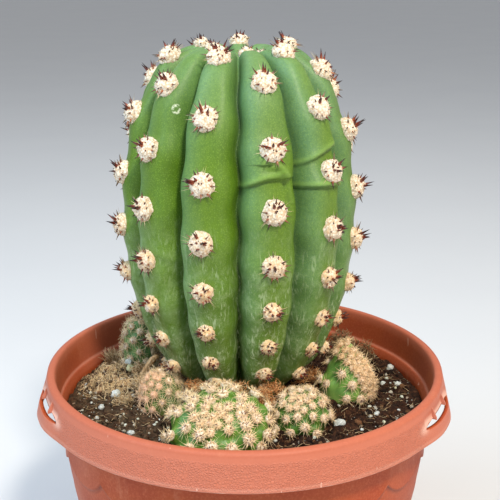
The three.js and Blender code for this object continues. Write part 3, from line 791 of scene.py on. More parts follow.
def makeStem():
    per, rows, ribs = stem["columnsPerRib"], stem["rows"], stem["ribs"]
    even = ((np.arange(rows) + 1) / (rows + 1)) ** 1.08 * stemLine["length"]
    s = np.sort(np.concatenate([even, np.linspace(*stem["foldSpan"], stem["foldRows"])]))
    even = (np.arange(per) + 0.5) / per * 2 - 1
    h, along = np.meshgrid(np.sign(even) * np.abs(even) ** 0.72, s)  # closer together in the grooves
    folds = [foldRelief(rib, h, along, ridgeAt(stemLine, along)[0]) for rib in range(ribs)]
    flat = np.concatenate([stemPoint(rib, h, along) for rib in range(ribs)], 1).reshape(-1, 3)
    bumpy = 0.35 * softNoise(flat, 17.0, 3.0) + 0.16 * softNoise(flat, 6.0, 9.0)
    x, y = stem["axis"]
    outward = (flat - [x, y, 0]) * [1, 1, 0]
    near = np.linalg.norm(outward, axis=1)
    flat = flat + outward * (bumpy * smooth(6, 30, near) / np.maximum(near, 1e-6))[:, None]
    seen = np.repeat(s, ribs * per)
    h, deep = np.tile(h, (1, ribs)).ravel(), stemDepth(seen) / stem["grooveDepth"]
    marks = {
        # where painted shade goes in the grooves
        "groove": np.abs(h) ** 2.2 * deep, "ridge": (1 - np.abs(h)) ** 1.5,
        "leftFlank": np.clip(-h, 0, 1) ** 0.7 * deep, "along": seen / stemLine["length"],
        "creaseShade": np.concatenate([fold[1] for fold in folds], 1).ravel(),
        "roll": np.concatenate([fold[2] for fold in folds], 1).ravel(),
    }
    marks = {key: capped(0, [values], int(key == "along")) for key, values in marks.items()}
    points = capped([x, y, 294], [flat], [x, y, 101])
    return meshPiece("stem_skin", points, ringFaces(len(s), ribs * per), stemSkin(), **marks)


stemPiece = hand(makeStem(), "stem")
print("stem skin made,", len(stemPiece.data.polygons), "faces")

# woolly pads and spines, for the stem and the offsets

wool = {
    "tuft": 0.72, "tuftHeight": 0.6, "curl": 1.2, "uneven": 2.6,  # mm
    "cream": paint(254, 244, 226), "shade": paint(216, 188, 154), "tan": paint(236, 196, 140),
    "rust": paint(186, 98, 50), "blush": paint(252, 190, 156), "sheen": 0.25,
}


def woolFinish():
    material, tree, shader = finishOf("areoleWool", 0.95, 0.15)
    old = mark(tree, "age")
    age = times(tree, old, level(tree, cloud(tree, 330, 3, 0.6), 0.3, 0.7, 0.2, 1.3))
    stain = times(tree, level(tree, cloud(tree, 430, 2, 0.5), 0.6, 0.72, 0, 0.7), old)
    colour = coated(
        tree, wool["cream"],
        (cells(tree, 900), 0.25, 0.75, 1, wool["shade"]),
        (age, 0.1, 1.0, 0.85, wool["tan"]),
        (stain, 0, 1, 1, wool["rust"]),
        (mark(tree, "blush"), 0, 1, 0.8, wool["blush"]))
    wear(tree, shader, colour, relief(tree, cloud(tree, 1900, 3, 0.7), 0.0006, 0.9))
    shader.inputs["Sheen Weight"].default_value = wool["sheen"]
    return material


def padTree(material):  # a lumpy tuft of wool on every foot
    tree, given = newTree("woolPads", {
        "Detail": 4, "Tuft": 1.5, "Tuft height": 1.5, "Curl": 0.6, "Uneven": 1.0})
    size, where = named(tree, "size"), whereOf(tree)
    pads = standOn(tree, given["Geometry"], ballOf(tree, given),
                   aimed(tree, named(tree, "aim", "FLOAT_VECTOR")),
                   triple(tree, size, size, named(tree, "rise")))
    whole = put(tree, "GeometryNodeRealizeInstances", {"Geometry": pads}).outputs[0]
    perMetre = maths(tree, "DIVIDE", 1 / mm, given["Tuft"])
    clumps = put(tree, "ShaderNodeTexVoronoi", {"Vector": where, "Scale": perMetre},
                 feature="F1").outputs["Distance"]
    total = times(tree, level(tree, clumps, 0.0, 0.8, 0.6, -0.4), given["Tuft height"])
    for scale, detail, label in ((1100.0, 2.0, "Curl"), (280.0, 1.0, "Uneven")):
        wild = put(tree, "ShaderNodeTexNoise", {"Vector": where, "Scale": scale, "Detail": detail}).outputs[0]
        total = maths(tree, "ADD", total, times(tree, maths(tree, "SUBTRACT", wild, 0.5), given[label]))
    normal = put(tree, "GeometryNodeInputNormal").outputs[0]
    return endTree(tree, shifted(tree, whole, scaled(tree, normal, times(tree, total, mm))), material)


def hairTree(material):  # fine short hairs all over a woolly surface
    tree, given = newTree("woolHairs", {"Density": 60000.0, "Length": 1.6, "Thickness": 0.09, "Seed": 5})
    feet = strewn(tree, given)
    wild = drawn(tree, (-0.75, -0.75, -0.75), (0.75, 0.75, 0.75), 0, "FLOAT_VECTOR")
    aim = put(tree, "ShaderNodeVectorMath", {0: feet["Normal"], 1: wild}, operation="ADD").outputs[0]
    tall = times(tree, drawn(tree, 0.5, 1.25, 3), given["Length"])
    scale = triple(tree, given["Thickness"], given["Thickness"], tall)
    return endTree(tree, standOn(tree, feet["Points"], coneOf(tree, 3), aimed(tree, aim), scale), material)


spineTones = {
    "horn": ((0.0, paint(180, 92, 54)), (0.34, paint(108, 38, 27)), (0.66, paint(34, 15, 14)),
             (1.0, paint(34, 15, 14))),
    "cream": ((0.0, paint(238, 208, 158)), (0.5, paint(248, 228, 184)), (0.9, paint(240, 206, 152)),
              (1.0, paint(206, 144, 90))),
    "blush": paint(250, 192, 160), "glossy": 0.38,
}


def spineFinish():
    material, tree, shader = finishOf("spineHorn", spineTones["glossy"], 0.5)
    place = maths(tree, "ADD", mark(tree, "along"), level(tree, mark(tree, "chance"), 0, 1, -0.16, 0.16))
    colour = tint(tree, mark(tree, "dark"), ramp(tree, place, spineTones["cream"]),
                  ramp(tree, place, spineTones["horn"]))
    colour = coated(tree, colour, (mark(tree, "blush"), 0, 1, 0.7, spineTones["blush"]))
    wear(tree, shader, colour, relief(tree, cloud(tree, 2600, 2, 0.5), 0.00008, 0.4))
    return material


def spineTree(material):  # one stiff, slightly bent spine on every foot
    tree, given = newTree("spines", {"Sides": 5, "Segments": 3, "Bend": 0.12, "Seed": 7})
    girth = named(tree, "girth")
    thorn = coneOf(tree, given["Sides"], **{"Side Segments": given["Segments"]})
    part = times(tree, axisOf(tree, whereOf(tree), 2), 1 / mm)
    known = stored(tree, thorn, "along", part, "POINT")
    arch = times(tree, times(tree, maths(tree, "POWER", part, 2.0), given["Bend"]), mm)
    bent = shifted(tree, known, triple(tree, arch))
    turn = drawn(tree, 0.0, fullTurn, given["Seed"])
    roll = put(tree, "FunctionNodeAxisAngleToRotation", {"Axis": (0, 0, 1), "Angle": turn}).outputs[0]
    turned = put(tree, "FunctionNodeRotateRotation", {
        0: aimed(tree, named(tree, "aim", "FLOAT_VECTOR")), 1: roll}, rotation_space="LOCAL").outputs[0]
    spines = standOn(tree, given["Geometry"], bent, turned, triple(tree, girth, girth, named(tree, "tall")))
    return endTree(tree, stored(tree, spines, "chance", drawn(tree, 0.0, 1.0, 11), "INSTANCE"), material)


woolMaterial = woolFinish()
padNodes, hairNodes, spineNodes = padTree(woolMaterial), hairTree(woolMaterial), spineTree(spineFinish())
padDrop, spineDrop = ("aim", "size", "rise"), ("aim", "tall", "girth")  # what only the trees read


def frameOf(normal):  # up along the surface, and across
    up = Vector((0, 0, 1)) - normal * normal.z
    if up.length < 0.05:
        up = Vector((1, 0, 0))
    up.normalize()
    return up, up.cross(normal).normalized()


def spineFoot(areole, turn, tilt, tall, girth, dark):  # turn 90 is up the plant, tilt 0 is straight out
    up, across = areole["up"], areole["across"]
    heading = up * math.sin(turn) + across * math.cos(turn)
    aim = (areole["normal"] * math.cos(tilt) + heading * math.sin(tilt)).normalized()
    seat = (areole["place"] + heading * (areole["size"] * math.sin(tilt * 0.85))
            + areole["normal"] * (areole["rise"] * math.cos(tilt * 0.85)))
    return {"place": seat - aim * 0.9, "aim": aim, "tall": tall + 0.9, "girth": girth, "dark": dark,
            "blush": areole.get("blush", 0.0)}


def padFoot(areole):
    own = {key: areole[key] for key in ("place", "size", "rise", "age")}
    return {**own, "aim": areole["normal"], "blush": areole.get("blush", 0.0)}


def areoleAt(place, normal, size, **more):
    up, across = frameOf(normal)
    return {"place": place, "normal": normal, "up": up, "across": across, "size": size, **more}


def stemAreoles():
    found = []
    for rib, lengths in enumerate(ribAreoles):
        for s in lengths:
            nr, nz = ridgeAt(stemLine, s)[2:]
            size = (stem["padSize"] * (0.6 + 0.4 * float(smooth(8, 45, s)))
                    * (1 - 0.34 * float(smooth(120, 200, s))))
            place = Vector(stemPoint(rib, np.array(0.0), np.array(s)))
            normal = Vector(polar(nr, ribTurn(rib), nz)).normalized()
            found.append(areoleAt(place, normal, size, s=s, rise=stem["padRise"] * size / stem["padSize"],
                                  age=float(smooth(85, 190, s))))
    return found


def stemSpines(areoles, rng):
    feet = []
    for areole in areoles:
        part = (areole["size"] / stem["padSize"]) ** 0.6
        short = 0.62 if areole["s"] < 30 else 1.0
        # the strong ones, most on the upper half
        for _ in range(rng.choice((3, 4, 4)) + (1 if areole["s"] > 75 else 0)):
            turn = math.radians(90 + rng.uniform(-80, 80))
            feet.append(spineFoot(areole, turn, math.radians(rng.uniform(14, 52)),
                                  short * rng.uniform(3.5, 5.8) * part, rng.uniform(0.82, 1.08) * part, 1.0))
        ring = rng.randint(9, 12)
        first = rng.uniform(0, fullTurn)
        for k in range(ring):
            turn = first + (k + rng.uniform(-0.3, 0.3)) / ring * fullTurn
            feet.append(spineFoot(areole, turn, math.radians(rng.uniform(56, 86)),
                                  short * rng.uniform(2.5, 4.5) * part, rng.uniform(0.52, 0.76) * part,
                                  rng.uniform(0.85, 1.0)))
        for _ in range(rng.randint(3, 6)):  # stubs that just show in the wool
            feet.append(spineFoot(areole, rng.uniform(0, fullTurn), math.radians(rng.uniform(10, 60)),
                                  short * rng.uniform(0.5, 1.6) * part, rng.uniform(0.55, 0.8) * part, 1.0))
        for _ in range(rng.randint(5, 8)):  # thin ones lying along the skin
            feet.append(spineFoot(areole, rng.uniform(0, fullTurn), math.radians(rng.uniform(72, 92)),
                                  short * rng.uniform(3.0, 5.6) * part, rng.uniform(0.14, 0.2),
                                  rng.uniform(0.1, 0.7)))
    for foot in feet:  # none reaches above the plant's own height
        if foot["place"].z + foot["aim"].z * foot["tall"] > stem["spineTop"]:
            foot["tall"] = max(1.0, (stem["spineTop"] - foot["place"].z) / foot["aim"].z)
    return feet


rng = random.Random(41)
areoles = stemAreoles()
pads = growOn("stem_wool", [padFoot(areole) for areole in areoles], padNodes, {
    "Detail": 4, "Tuft": wool["tuft"], "Tuft height": wool["tuftHeight"], "Curl": wool["curl"],
    "Uneven": wool["uneven"]}, padDrop)
hairs = grow("stem_wool_hairs", pads, hairNodes, {
    "Density": 330000.0, "Length": 1.35, "Thickness": 0.085, "Seed": 5})
spines = growOn("stem_spines", stemSpines(areoles, rng), spineNodes, {
    "Sides": 5, "Segments": 2, "Bend": 0.35, "Seed": 7}, spineDrop)
for piece in (pads, hairs, spines):
    hand(piece, None)
print("stem areoles made,", len(areoles), "pads,", len(hairs.data.polygons), "hair faces,",
      len(spines.data.polygons), "spine faces")

# offsets round the foot of the stem

# seen and crest hold areoles placed from the photograph, as turn in degrees and length from the tip
offsets = {
    "offset_front": {
        "x": -12, "y": -46.5, "radius": 27.5, "height": 24, "lean": (-0.1, -0.1), "ribs": 10, "ribbed": 0.35,
        "crown": (357, 15.3), "spread": (17, 10.4, 1.0), "pad": 2.95, "bristle": 1.0, "fringe": 14,
        "bump": 2.6, "bumpWidth": 4.4, "blush": 0.12, "green": (100, 142, 44), "seed": 1,
        "seen": [(231, 22.0), (201, 17.3), (165, 19.3), (126, 4.7), (270, 10.7), (315, 4.0), (87, 13.3),
                 (123, 25.0), (282, 20.7), (258, 28.7), (45, 19.0), (60, 24.7), (78, 31.0), (318, 23.3),
                 (340, 25.0), (9, 24.0), (26, 25.5), (297, 31.0), (354, 30.5), (15, 32.7), (36, 31.0),
                 (330, 32.0), (48, 38.0), (310, 38.0), (62, 35.0), (292, 13.6), (308, 16.6), (58, 15.0),
                 (66, 19.4), (40, 24.5), (252, 15.0)]},
    "offset_front_right": {
        "x": 29.5, "y": -32, "radius": 15.6, "height": 19, "lean": (0, -0.12), "ribs": 8, "ribbed": 0.3,
        "crown": (348, 7.2), "spread": (13, 7.8, 1.1), "pad": 2.3, "bristle": 0.95, "fringe": 13, "bump": 1.9,
        "bumpWidth": 3.2, "blush": 0.18, "green": (82, 126, 38), "seed": 2},
    "offset_right": {
        "x": 54.5, "y": 4, "radius": 15.8, "height": 26, "lean": (0.4, 0.02), "ribs": 8, "ribbed": 0.5,
        "crown": (150, 8.0), "spread": (4, 7.5, 0.9), "pad": 2.4, "bristle": 1.1, "fringe": 13, "bump": 1.6,
        "bumpWidth": 3.6, "blush": 0.15, "green": (140, 184, 84), "seed": 3,
        "humps": [(243, 12.0, 6.5, 8.5), (110, 16.0, -4.5, 10.5)],
        # a crowded double line over its top, and those on its face
        "crest": [(246, 13.4), (243, 9.5), (261, 8.9), (294, 6.2), (336, 5.2), (9, 7.2), (24, 10.7),
                  (36, 13.9), (45, 17.6), (48, 21.6), (49, 25.6), (261, 12.9), (285, 10.2), (312, 9.2),
                  (339, 9.9), (0, 11.7), (15, 14.6), (27, 17.9), (36, 21.4), (40, 25.2), (252, 16.8),
                  (270, 15.4), (294, 13.6), (318, 12.9), (340, 13.6), (356, 15.2), (10, 18.2), (22, 21.6)],
        "seen": [(252, 22.5), (324, 19.6), (303, 29.0), (354, 22.4), (354, 30.5), (22, 28.0), (336, 39.0),
                 (272, 31.0), (14, 37.0)]},
    "offset_left_back": {
        "x": -61, "y": 37, "radius": 10.3, "height": 33.5, "lean": (-0.04, -0.06), "ribs": 7, "ribbed": 0.5,
        "crown": (0, 0.5), "spread": (6, 7.0, 0.86), "pad": 2.1, "bristle": 1.3, "fringe": 15, "bump": 1.2,
        "bumpWidth": 3.2, "blush": 0.06, "green": (124, 162, 92), "seed": 4},
    "offset_left": {
        "x": -43, "y": -11, "radius": 12, "height": 21, "lean": (-0.14, -0.1), "ribs": 7, "ribbed": 0.3,
        "crown": (330, 4.0), "spread": (8, 6.2, 0.9), "pad": 1.9, "bristle": 1.7, "fringe": 20, "bump": 1.6,
        "bumpWidth": 2.8, "blush": 0.15, "green": (116, 140, 66), "seed": 5, "rosy": (-51, -18, 11.0)},
}


def offsetLine(own):
    r, h = own["radius"], own["height"]
    return ridgeLine([(0, h - 1.6), (0.22 * r, h - 0.2), (0.5 * r, 0.93 * h), (0.8 * r, 0.72 * h),
                      (0.97 * r, 0.42 * h), (r, 0.14 * h), (0.93 * r, -0.5), (0.72 * r, -4), (0.38 * r, -6.5),
                      (0, -7)])


def offsetPlace(own):
    turn = Vector((0, 0, 1)).rotation_difference(Vector((*own["lean"], 1)).normalized()).to_matrix().to_4x4()
    return Matrix.Translation((own["x"], own["y"], soilLevel)) @ turn


def offsetGrid(own, line, angle, s, share):
    r, z, nr, nz = ridgeAt(line, s)
    part = s / line["length"]
    ribbed = smooth(0, 0.22, part) * (1 - smooth(0.62, 0.78, part)) * np.abs(share) ** 2.0
    sink = 0.2 * own["ribbed"] * own["radius"] * ribbed
    return polar(np.maximum(r - nr * sink, 0), angle, z - nz * sink), polar(nr, angle, nz)


def humped(points, own, line, place):  # lifts the points where a plant humps up
    for turn, s, high, wide in own.get("humps", ()):
        r, z = (float(v) for v in ridgeAt(line, s)[:2])
        far = np.linalg.norm(points - np.array(place @ Vector(polar(r, math.radians(turn), z))), axis=-1)
        points = points + (high * np.exp(-((far / wide) ** 2)))[..., None] * np.array([0, 0, 1])
    return points


# the first tone is painted shade in the hollows between the areoles
offsetTones = {"groove": paint(48, 88, 26), "speck": paint(150, 184, 96), "foot": paint(88, 84, 44)}


def offsetSkin(name, own):
    material, tree, shader = finishOf(name + "Skin", 0.42, 0.5)
    red, green, blue = own["green"]
    colour = coated(
        tree, paint(red, green, blue),
        (cloud(tree, 90, 4, 0.6), 0.35, 0.7, 1, paint(red * 0.66, green * 0.8, blue * 0.9)),
        # painted shade in the hollows between the areoles' bumps
        (mark(tree, "groove"), 0.6, 1.0, 0.3, offsetTones["groove"]),
        (cells(tree, 1100), 0.4, 0.0, 0.3, offsetTones["speck"]),
        (mark(tree, "along"), 0.5, 0.8, 0.8, offsetTones["foot"]))
    wear(tree, shader, colour, relief(tree, cloud(tree, 1300, 3, 0.6), 0.00015, 0.5))
    return material


def buried(place, own):  # under the mix, in the stem, in the wall or in a neighbour
    x, y, z = place
    if z < mixTop(x, y) + 0.6 or math.hypot(x, y) > bodyRadius(min(z, 122)) - 3.5:
        return True
    away = math.hypot(x - stem["axis"][0], y - stem["axis"][1])
    lower = stemLine["s"] > stemLine["length"] * 0.4
    if away < np.interp(-z, -stemLine["z"][lower], stemLine["r"][lower]) + 0.8:
        return True
    for other in offsets.values():
        if other is own:
            continue
        rise = z - soilLevel
        dx, dy = x - other["x"] - other["lean"][0] * rise, y - other["y"] - other["lean"][1] * rise
        high = max(0.0, rise - 0.15 * other["height"]) / (0.85 * other["height"])
        if (dx * dx + dy * dy) / other["radius"] ** 2 + high * high < 1.0:
            return True
    return False


spiralStep = 2.39996  # radians between two areoles


def spiralSpots(own, line):  # a spiral round the crown, as turns and lengths from the tip
    spots, reach = [], line["length"] / math.pi
    axis = Vector(onSphere(own["crown"][1] / reach, math.radians(own["crown"][0])))
    turned = Vector((0, 0, 1)).rotation_difference(axis)
    core, coreReach, outer = own["spread"]
    for k in range(140):
        step = (k + 0.3) / core
        away = coreReach * step ** (0.94 if step < 1 else outer) / reach
        if away > 2.2:
            break
        at = turned @ Vector(onSphere(away, k * spiralStep))
        gap = 1.35 if step < 1 else 2.7 if "seen" in own else 1.9
        spots.append((math.atan2(at.x, -at.y), math.acos(max(-1.0, min(1.0, at.z))) * reach,
                      away * reach, gap))
    return spots


def onSphere(tilt, turn):
    return polar(math.sin(tilt), turn, math.cos(tilt))


def offsetAreoles(own, line, place, rng):
    spots, core = spiralSpots(own, line), own["spread"][0]
    seen = [(math.radians(turn), s, own["radius"], 1.3) for turn, s in own.get("seen", ())]
    crest = [(math.radians(turn), s, 0.0, 1.3) for turn, s in own.get("crest", ())]
    if crest:  # the spiral only fills its back
        spots = crest + seen + [spot for spot in spots if math.cos(spot[0]) < -0.2 and spot[1] > 19]
    else:
        spots = spots[:core] + seen + spots[core:]
    found, solid = [], place.to_3x3()
    for turn, s, away, gap in spots:
        if s > line["length"] * 0.7:
            continue
        r, z, nr, nz = (float(v) for v in ridgeAt(line, s))
        point = Vector(humped(np.array(place @ Vector(polar(r, turn, z))), own, line, place))
        normal = (solid @ Vector(polar(nr, turn, nz))).normalized()
        crested = bool(crest) and away == 0.0
        young = 1 - float(smooth(0.1, 0.8, away / own["radius"]))
        size = own["pad"] * (1 - 0.2 * young) * rng.uniform(0.9, 1.1) * (1.2 if crested else 1)
        closest = min([(point - other["place"]).length for other in found], default=99)
        if buried(point + normal * size * 0.6, own) or closest < size * (0.9 if crested else gap):
            continue
        blush = own["blush"]
        if "rosy" in own:
            x, y, reach = own["rosy"]
            blush += 0.5 * (1 - float(smooth(0.5, 1.0, math.hypot(point.x - x, point.y - y) / reach)))
        found.append(areoleAt(point, normal, size, rise=size * 0.7, blush=blush, crested=crested,
                              age=0.85 if crested else 0.25 + 0.6 * young, young=0.3 if crested else young))
    return found


def offsetSpines(own, areoles, rng):
    feet = []
    for areole in areoles:
        part = areole["size"] / 2.5
        reach = own["bristle"] * part * (1 - 0.35 * areole["young"])
        stubby = 12 if areole["crested"] else 26
        for k in range(stubby):  # stubby cream ones in two rings, like a star
            turn = (k + rng.uniform(-0.4, 0.4)) / stubby * fullTurn
            tilt = math.radians(rng.uniform(62, 88) if k % 2 else rng.uniform(28, 60))
            feet.append(spineFoot(areole, turn, tilt, rng.uniform(0.9, 2.0) * part,
                                  rng.uniform(0.32, 0.46) * part, rng.uniform(0, 0.1)))
        darkest = 0.6 if areole["crested"] else 1.0
        for _ in range(rng.randint(8, 12) + (8 if areole["crested"] else 0)):  # dark tips in the middle
            feet.append(spineFoot(areole, rng.uniform(0, fullTurn), math.radians(rng.uniform(4, 60)),
                                  rng.uniform(0.7, 1.9) * part, rng.uniform(0.28, 0.4) * part,
                                  darkest * rng.uniform(0.6, 1.0)))
        for k in range(own["fringe"]):  # thin bristles round the edge
            turn = (k + rng.uniform(-0.4, 0.4)) / own["fringe"] * fullTurn
            feet.append(spineFoot(areole, turn, math.radians(rng.uniform(54, 96)),
                                  rng.uniform(3.0, 5.6) * reach, rng.uniform(0.13, 0.17), 0.0))
    return feet


def makeOffset(name, own):
    line, place = offsetLine(own), offsetPlace(own)
    rng = random.Random(own["seed"] * 17)
    areoles = offsetAreoles(own, line, place, rng)
    per, rows = 12, 60
    even = (np.arange(per) + 0.5) / per * 2 - 1
    parts = (np.arange(rows) + 1) / (rows + 1)
    turns = ((np.arange(own["ribs"])[:, None] + even[None, :] / 2) / own["ribs"] * fullTurn).ravel()
    h = np.tile(even, own["ribs"])
    angle, s = np.meshgrid(turns, parts * line["length"])
    local, outward = (grid.reshape(-1, 3) for grid in offsetGrid(own, line, angle, s, h[None, :]))
    turn = np.array(place)
    points = capped([0, 0, own["height"] - 1.6], [local], [0, 0, -7]) @ turn[:3, :3].T + turn[:3, 3]
    outward = capped([0, 0, 1], [outward], [0, 0, -1]) @ turn[:3, :3].T
    points = humped(points, own, line, place)
    # every areole stands on a low bump of its own
    cover = np.zeros(len(points))
    for areole in areoles:
        far = np.linalg.norm(points - np.array(areole["place"]), axis=1)
        cover = np.maximum(cover, np.exp(-((far / own["bumpWidth"]) ** 2)))
    above = capped(1, [np.repeat(1 - smooth(0.6, 0.75, parts), len(h))], 0)
    sunk = own["bump"] * (1 - cover) * above - 0.25 * softNoise(points, 4.0, own["seed"] * 3.1)
    # the mask for painted shade lies in the hollows between the bumps
    skin = meshPiece(name + "_skin", points - outward * sunk[:, None], ringFaces(rows, len(h)),
                     offsetSkin(name, own), groove=(1 - cover) * above,
                     along=capped(0, [np.repeat(parts, len(h))], 1))
    hand(skin, name)
    pads = growOn(name + "_wool", [padFoot(areole) for areole in areoles], padNodes, {
        "Detail": 2, "Tuft": 0.9, "Tuft height": 0.6, "Curl": 0.6, "Uneven": 0.0}, padDrop)
    spines = growOn(name + "_spines", offsetSpines(own, areoles, rng), spineNodes, {
        "Sides": 4, "Segments": 2, "Bend": 0.3, "Seed": own["seed"]}, spineDrop)
    hand(pads, None)
    hand(spines, None)
    print(name, "made,", len(areoles), "areoles,", len(spines.data.polygons), "spine faces")


for name, own in offsets.items():
    makeOffset(name, own)

# potting mix, its crumbs and the white grains in it

crumbs = {
    "browns": (paint(24, 15, 10), paint(50, 29, 19), paint(80, 50, 32), paint(120, 85, 57)),
    "dust": paint(158, 138, 108), "chip": paint(196, 196, 186), "bark": paint(136, 92, 62),
    "shell": paint(204, 198, 182),
    "coarse": 0.048, "fine": 0.21, "onMat": 0.6,  # how many on a square millimetre
    "white": (paint(226, 230, 226), paint(186, 192, 190)), "soiled": paint(150, 132, 108),
    "yellowed": paint(206, 198, 140), "small": 200, "seats": (112.0, 100, 85, 68, 50, 34, 20, 9, 5.2, 4.1),
}
grains = [(-71, 0, 3.2), (-77, -14, 2.0), (49, -35, 3.2), (34, -43, 1.8), (85, 38, 2.6), (86, 14, 2.0),
          (78, 16, 1.7), (-58, -42, 2.0), (70, -22, 1.7), (30, 84, 2.2), (-34, 82, 2.0)]
grainsOnMat = [(-66.5, 24.5, 2.6, 0.1), (-65.0, 19.5, 2.8, 0.8)]  # with how yellow they are


def dusty(tree, most):  # the mix is drier and paler on its left
    left = level(tree, axisOf(tree, spotOf(tree), 0), 0.0, -0.055)
    return times(tree, left, level(tree, cloud(tree, 260, 4, 0.7), 0.35, 0.65, 0, most))


def mixFinish():
    material, tree, shader = finishOf("pottingMix", 0.95, 0.2)
    lumps = cloud(tree, 420, 6, 0.72)
    white = level(tree, cells(tree, 420), 0.16, 0.1, 0.0, 0.85)
    few = level(tree, cloud(tree, 150, 2, 0.5), 0.55, 0.6)
    colour = coated(
        tree, ramp(tree, lumps, tuple(zip((0.34, 0.5, 0.62, 0.76), crumbs["browns"]))),
        (dusty(tree, 0.2), 0, 1, 1, crumbs["dust"]),
        (times(tree, white, few), 0, 1, 1, crumbs["chip"]))
    bumps = relief(tree, cloud(tree, 1500, 4, 0.7), 0.0004, 0.7, relief(tree, lumps, 0.0012, 0.9))
    wear(tree, shader, colour, bumps)
    return material


def crumbFinish():
    material, tree, shader = finishOf("soilCrumb", 0.92, 0.25)
    shades = (*crumbs["browns"], crumbs["bark"], crumbs["shell"])
    colour = coated(
        tree, ramp(tree, mark(tree, "chance"), tuple(zip((0.0, 0.42, 0.72, 0.88, 0.91, 0.945), shades))),
        (cloud(tree, 900, 4, 0.7), 0.35, 0.7, 0.6, crumbs["browns"][0]),
        (dusty(tree, 0.24), 0, 1, 1, crumbs["dust"]))
    wear(tree, shader, colour, relief(tree, cloud(tree, 1700, 4, 0.7), 0.0004, 0.8))
    return material


def perliteFinish():
    material, tree, shader = finishOf("perlite", 0.85, 0.3)
    pits = cells(tree, 1400)
    colour = coated(
        tree, crumbs["white"][0],
        (pits, 0.2, 0.6, 1, crumbs["white"][1]),
        (cloud(tree, 300, 4, 0.7), 0.52, 0.75, 0.5, crumbs["soiled"]),
        (mark(tree, "blush"), 0, 1, 1, crumbs["yellowed"]))
    wear(tree, shader, colour, relief(tree, pits, 0.0005, 0.6))
    return material


def makeMix():
    rings, columns = mix["rings"], mix["columns"]
    angle = np.arange(columns) / columns * fullTurn

    def inside(z):
        return bodyRadius(z) - pot["wall"] - 0.25

    points = []
    for r in inside(116.0) * np.linspace(0, 1, rings + 1)[1:] ** 0.92:
        x, y, _ = polar(r, angle, 0.0).T
        points.append(polar(r, angle, mixTop(x, y)))
    flat = np.concatenate([[[0, 0, mixTop(0, 0)]], *points])
    lumpy = 0.35 - np.abs(softNoise(flat, 8.0, 2.0)) * 1.3 + 0.5 * softNoise(flat, 5.0, 3.0)
    flat[:, 2] += (mix["lumps"] * lumpy + mix["grain"] * softNoise(flat, 2.3, 5.0)
                   + 0.5 * softNoise(flat, 1.1, 8.0))
    low = [polar(inside(z), angle, z) for z in crumbs["seats"]]
    low.append(low[-1] * [0.5, 0.5, 1])
    whole = np.concatenate([flat, *low, [[0, 0, 4.1]]])
    return meshPiece("soil_mix", whole, ringFaces(rings + len(low), columns), mixFinish())


def crumbTree(name, material):  # loose bits strewn over what lies open
    tree, given = newTree(name, {
        "Density": 1.0, "Small": 0.6, "Large": 1.6, "Detail": 1, "Ragged": 0.5, "Seed": 1})
    size = maths(tree, "POWER", drawn(tree, 0.0, 1.0, given["Seed"]), 2.2)
    size = level(tree, size, 0, 1, given["Small"], given["Large"])
    shape = drawn(tree, (0.6, 0.6, 0.45), (1.3, 1.0, 0.85), 4, "FLOAT_VECTOR")
    spin = drawn(tree, (-0.6, -0.6, 0), (0.6, 0.6, fullTurn), 9, "FLOAT_VECTOR")
    spin = put(tree, "FunctionNodeEulerToRotation", {0: spin}).outputs[0]
    bits = standOn(tree, strewn(tree, given)["Points"], ballOf(tree, given), spin, scaled(tree, shape, size))
    bits = stored(tree, bits, "chance", drawn(tree, 0.0, 1.0, 21), "INSTANCE")
    whole = put(tree, "GeometryNodeRealizeInstances", {"Geometry": bits}).outputs[0]
    wild = put(tree, "ShaderNodeTexNoise", {
        "Vector": whereOf(tree), "Scale": 900.0, "Detail": 2.0}).outputs[1]
    wild = put(tree, "ShaderNodeVectorMath", {0: wild, 1: (0.5, 0.5, 0.5)}, operation="SUBTRACT").outputs[0]
    wild = scaled(tree, scaled(tree, wild, given["Ragged"]), mm)
    return endTree(tree, shifted(tree, whole, wild), material)


def openMix():  # the open part of the top, as a ground to strew things on
    columns, rings = 120, 30
    angle = np.arange(columns) / columns * fullTurn
    points, faces = [], []
    for r in np.linspace(20, 93.4, rings):
        x, y, _ = polar(r, angle, 0.0).T
        points.append(polar(r, angle, mixTop(x, y) + 0.25))
    points = np.concatenate(points)
    for i in range(rings - 1):
        for a, b, c, d in tubeFaces(columns, i * columns):
            x, y, z = points[[a, d, c, b]].mean(0)
            if not buried((x, y, z + 1.0), None):
                faces.append((a, d, c, b))
    return meshPiece("mixGround", points, faces, None)


hand(makeMix(), "soil")
ground = openMix()
crumbNodes = crumbTree("soilCrumbs", crumbFinish())
coarse = grow("soil_crumbs", ground, crumbNodes, {
    "Density": crumbs["coarse"] * 1e6, "Small": 0.8, "Large": 2.1, "Detail": 2, "Ragged": 2.4, "Seed": 3})
fine = grow("soil_grit", ground, crumbNodes, {
    "Density": crumbs["fine"] * 1e6, "Small": 0.32, "Large": 1.05, "Detail": 1, "Ragged": 0.8, "Seed": 8})
for piece in (coarse, fine):
    hand(piece, None)
print("soil made,", len(coarse.data.polygons), "crumb faces,", len(fine.data.polygons), "grit faces")


